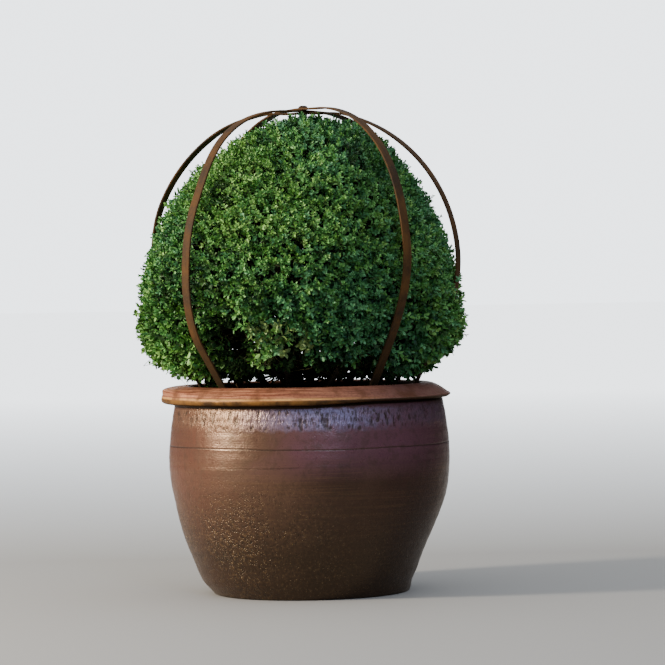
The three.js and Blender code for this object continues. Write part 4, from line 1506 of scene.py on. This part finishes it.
def grow_twigs(limbs, rng, knots, knot_radii):
    nearest = nearest_finder(knots)
    thick, thin = TWIG_RADII
    ends = []
    for target in inset_targets(rng, TWIG_COUNT, TWIG_INSET):
        index = nearest(target + (CROWN_CENTRE - target) * 0.22 - (0, 0, 0.05))
        pull = (knots[index] + target) / 2 + (0, 0, -0.012) + rng.normal(0, 0.010, 3)
        path = bent_path(knots[index], target, pull, 7)
        limbs.tube(path, np.linspace(min(thick, knot_radii[index]), thin, len(path)), 4)
        ends.extend(path[2:])
    return np.array(ends)


def grow_bare_twigs(limbs, rng):
    """Thin dead twigs that rise from the stems into the underside of the crown."""
    for _ in range(BARE_TWIG_COUNT):
        head, _, direction = stem_heads[rng.integers(len(stem_heads))]
        root = head - direction * rng.uniform(0.15, 0.85)
        azimuth = rng.uniform(-np.pi, np.pi)
        end = round_place(rng.uniform(0.12, 0.27), azimuth, rng.uniform(0.585, 0.625))
        pull = (root + end) / 2 - (0, 0, rng.uniform(-0.02, 0.015))
        path = wavering(rng, bent_path(root, end, pull, 8), BARE_TWIG_SWAY)
        limbs.tube(path, np.linspace(*BARE_TWIG_RADII, len(path)), 5)


limb_rng = np.random.default_rng(47)
knots, knot_radii = grow_boughs(stems, limb_rng, *grow_leaders(stems, limb_rng))
twigs = Limbs()
twig_points = grow_twigs(twigs, limb_rng, knots, knot_radii)
grow_bare_twigs(twigs, limb_rng)
print("boughs:", BOUGH_COUNT, "twigs:", TWIG_COUNT, "bare twigs:", BARE_TWIG_COUNT)

# %% Shoots' own twigs
SHOOT_TWIG_RADII = np.array((0.0010, 0.0008, 0.0005))
SHOOT_TWIG_REACH = 0.93


def shoot_twigs(name, roots, tips):
    """Thin three-sided twigs: from the nearest twig to each shoot's root, and on to its tip."""
    nearest = nearest_finder(twig_points)
    joints = np.array([twig_points[nearest(root)] for root in roots])
    stops = np.stack([joints, roots, roots + (tips - roots) * SHOOT_TWIG_REACH], axis=1)
    ahead = np.stack([roots - joints, tips - joints, tips - roots], axis=1)
    first = unit(np.cross(ahead, SLANT))
    ring = ring_corners(first, unit(np.cross(ahead, first)), np.arange(3) * 2 * np.pi / 3)
    points = stops[:, :, None] + ring * SHOOT_TWIG_RADII[None, :, None, None]
    return joined_copies(name, points.reshape(-1, 9, 3)[stands_free(stops)], tube_faces(3, 3))


def bark_finish(name, dark, light, scale):
    f = Finish(name, light, 0.9, 0.3)
    plates = f.noise(f.stretch(f.place(), (1, 1, 0.35)), scale, 5.0, 0.7)
    f.drive(f.mix(f.remap(plates, 0.38, 0.64), dark, light), "Base Color")
    f.drive(f.bump(plates, 0.0025, 0.9), "Normal")
    return f


old_bark = bark_finish("old_bark", (46, 38, 30), (104, 92, 76), 150.0)
young_bark = bark_finish("young_bark", (44, 44, 24), (84, 80, 48), 240.0)
stem_nodes = [f"stem_{index + 1}" for index in range(STEM_COUNT)]
dress(stems.piece("stems_and_boughs", True), old_bark, "bark", *stem_nodes)
dress(twigs.piece("twigs", False), young_bark, "leaves", "crown")
for name, side in (("shoot_twigs_left", tips[:, 0] < 0), ("shoot_twigs_right", tips[:, 0] >= 0)):
    dress(shoot_twigs(name, roots[side], tips[side]), young_bark, "leaves", "crown")

# %% [markdown]
# ## Finish
# The frame's box is printed. The visual model may stand out of the frame's box by very little.

# %% Print the frame box
print("frame box", np.round(frame_box, 3).tolist())
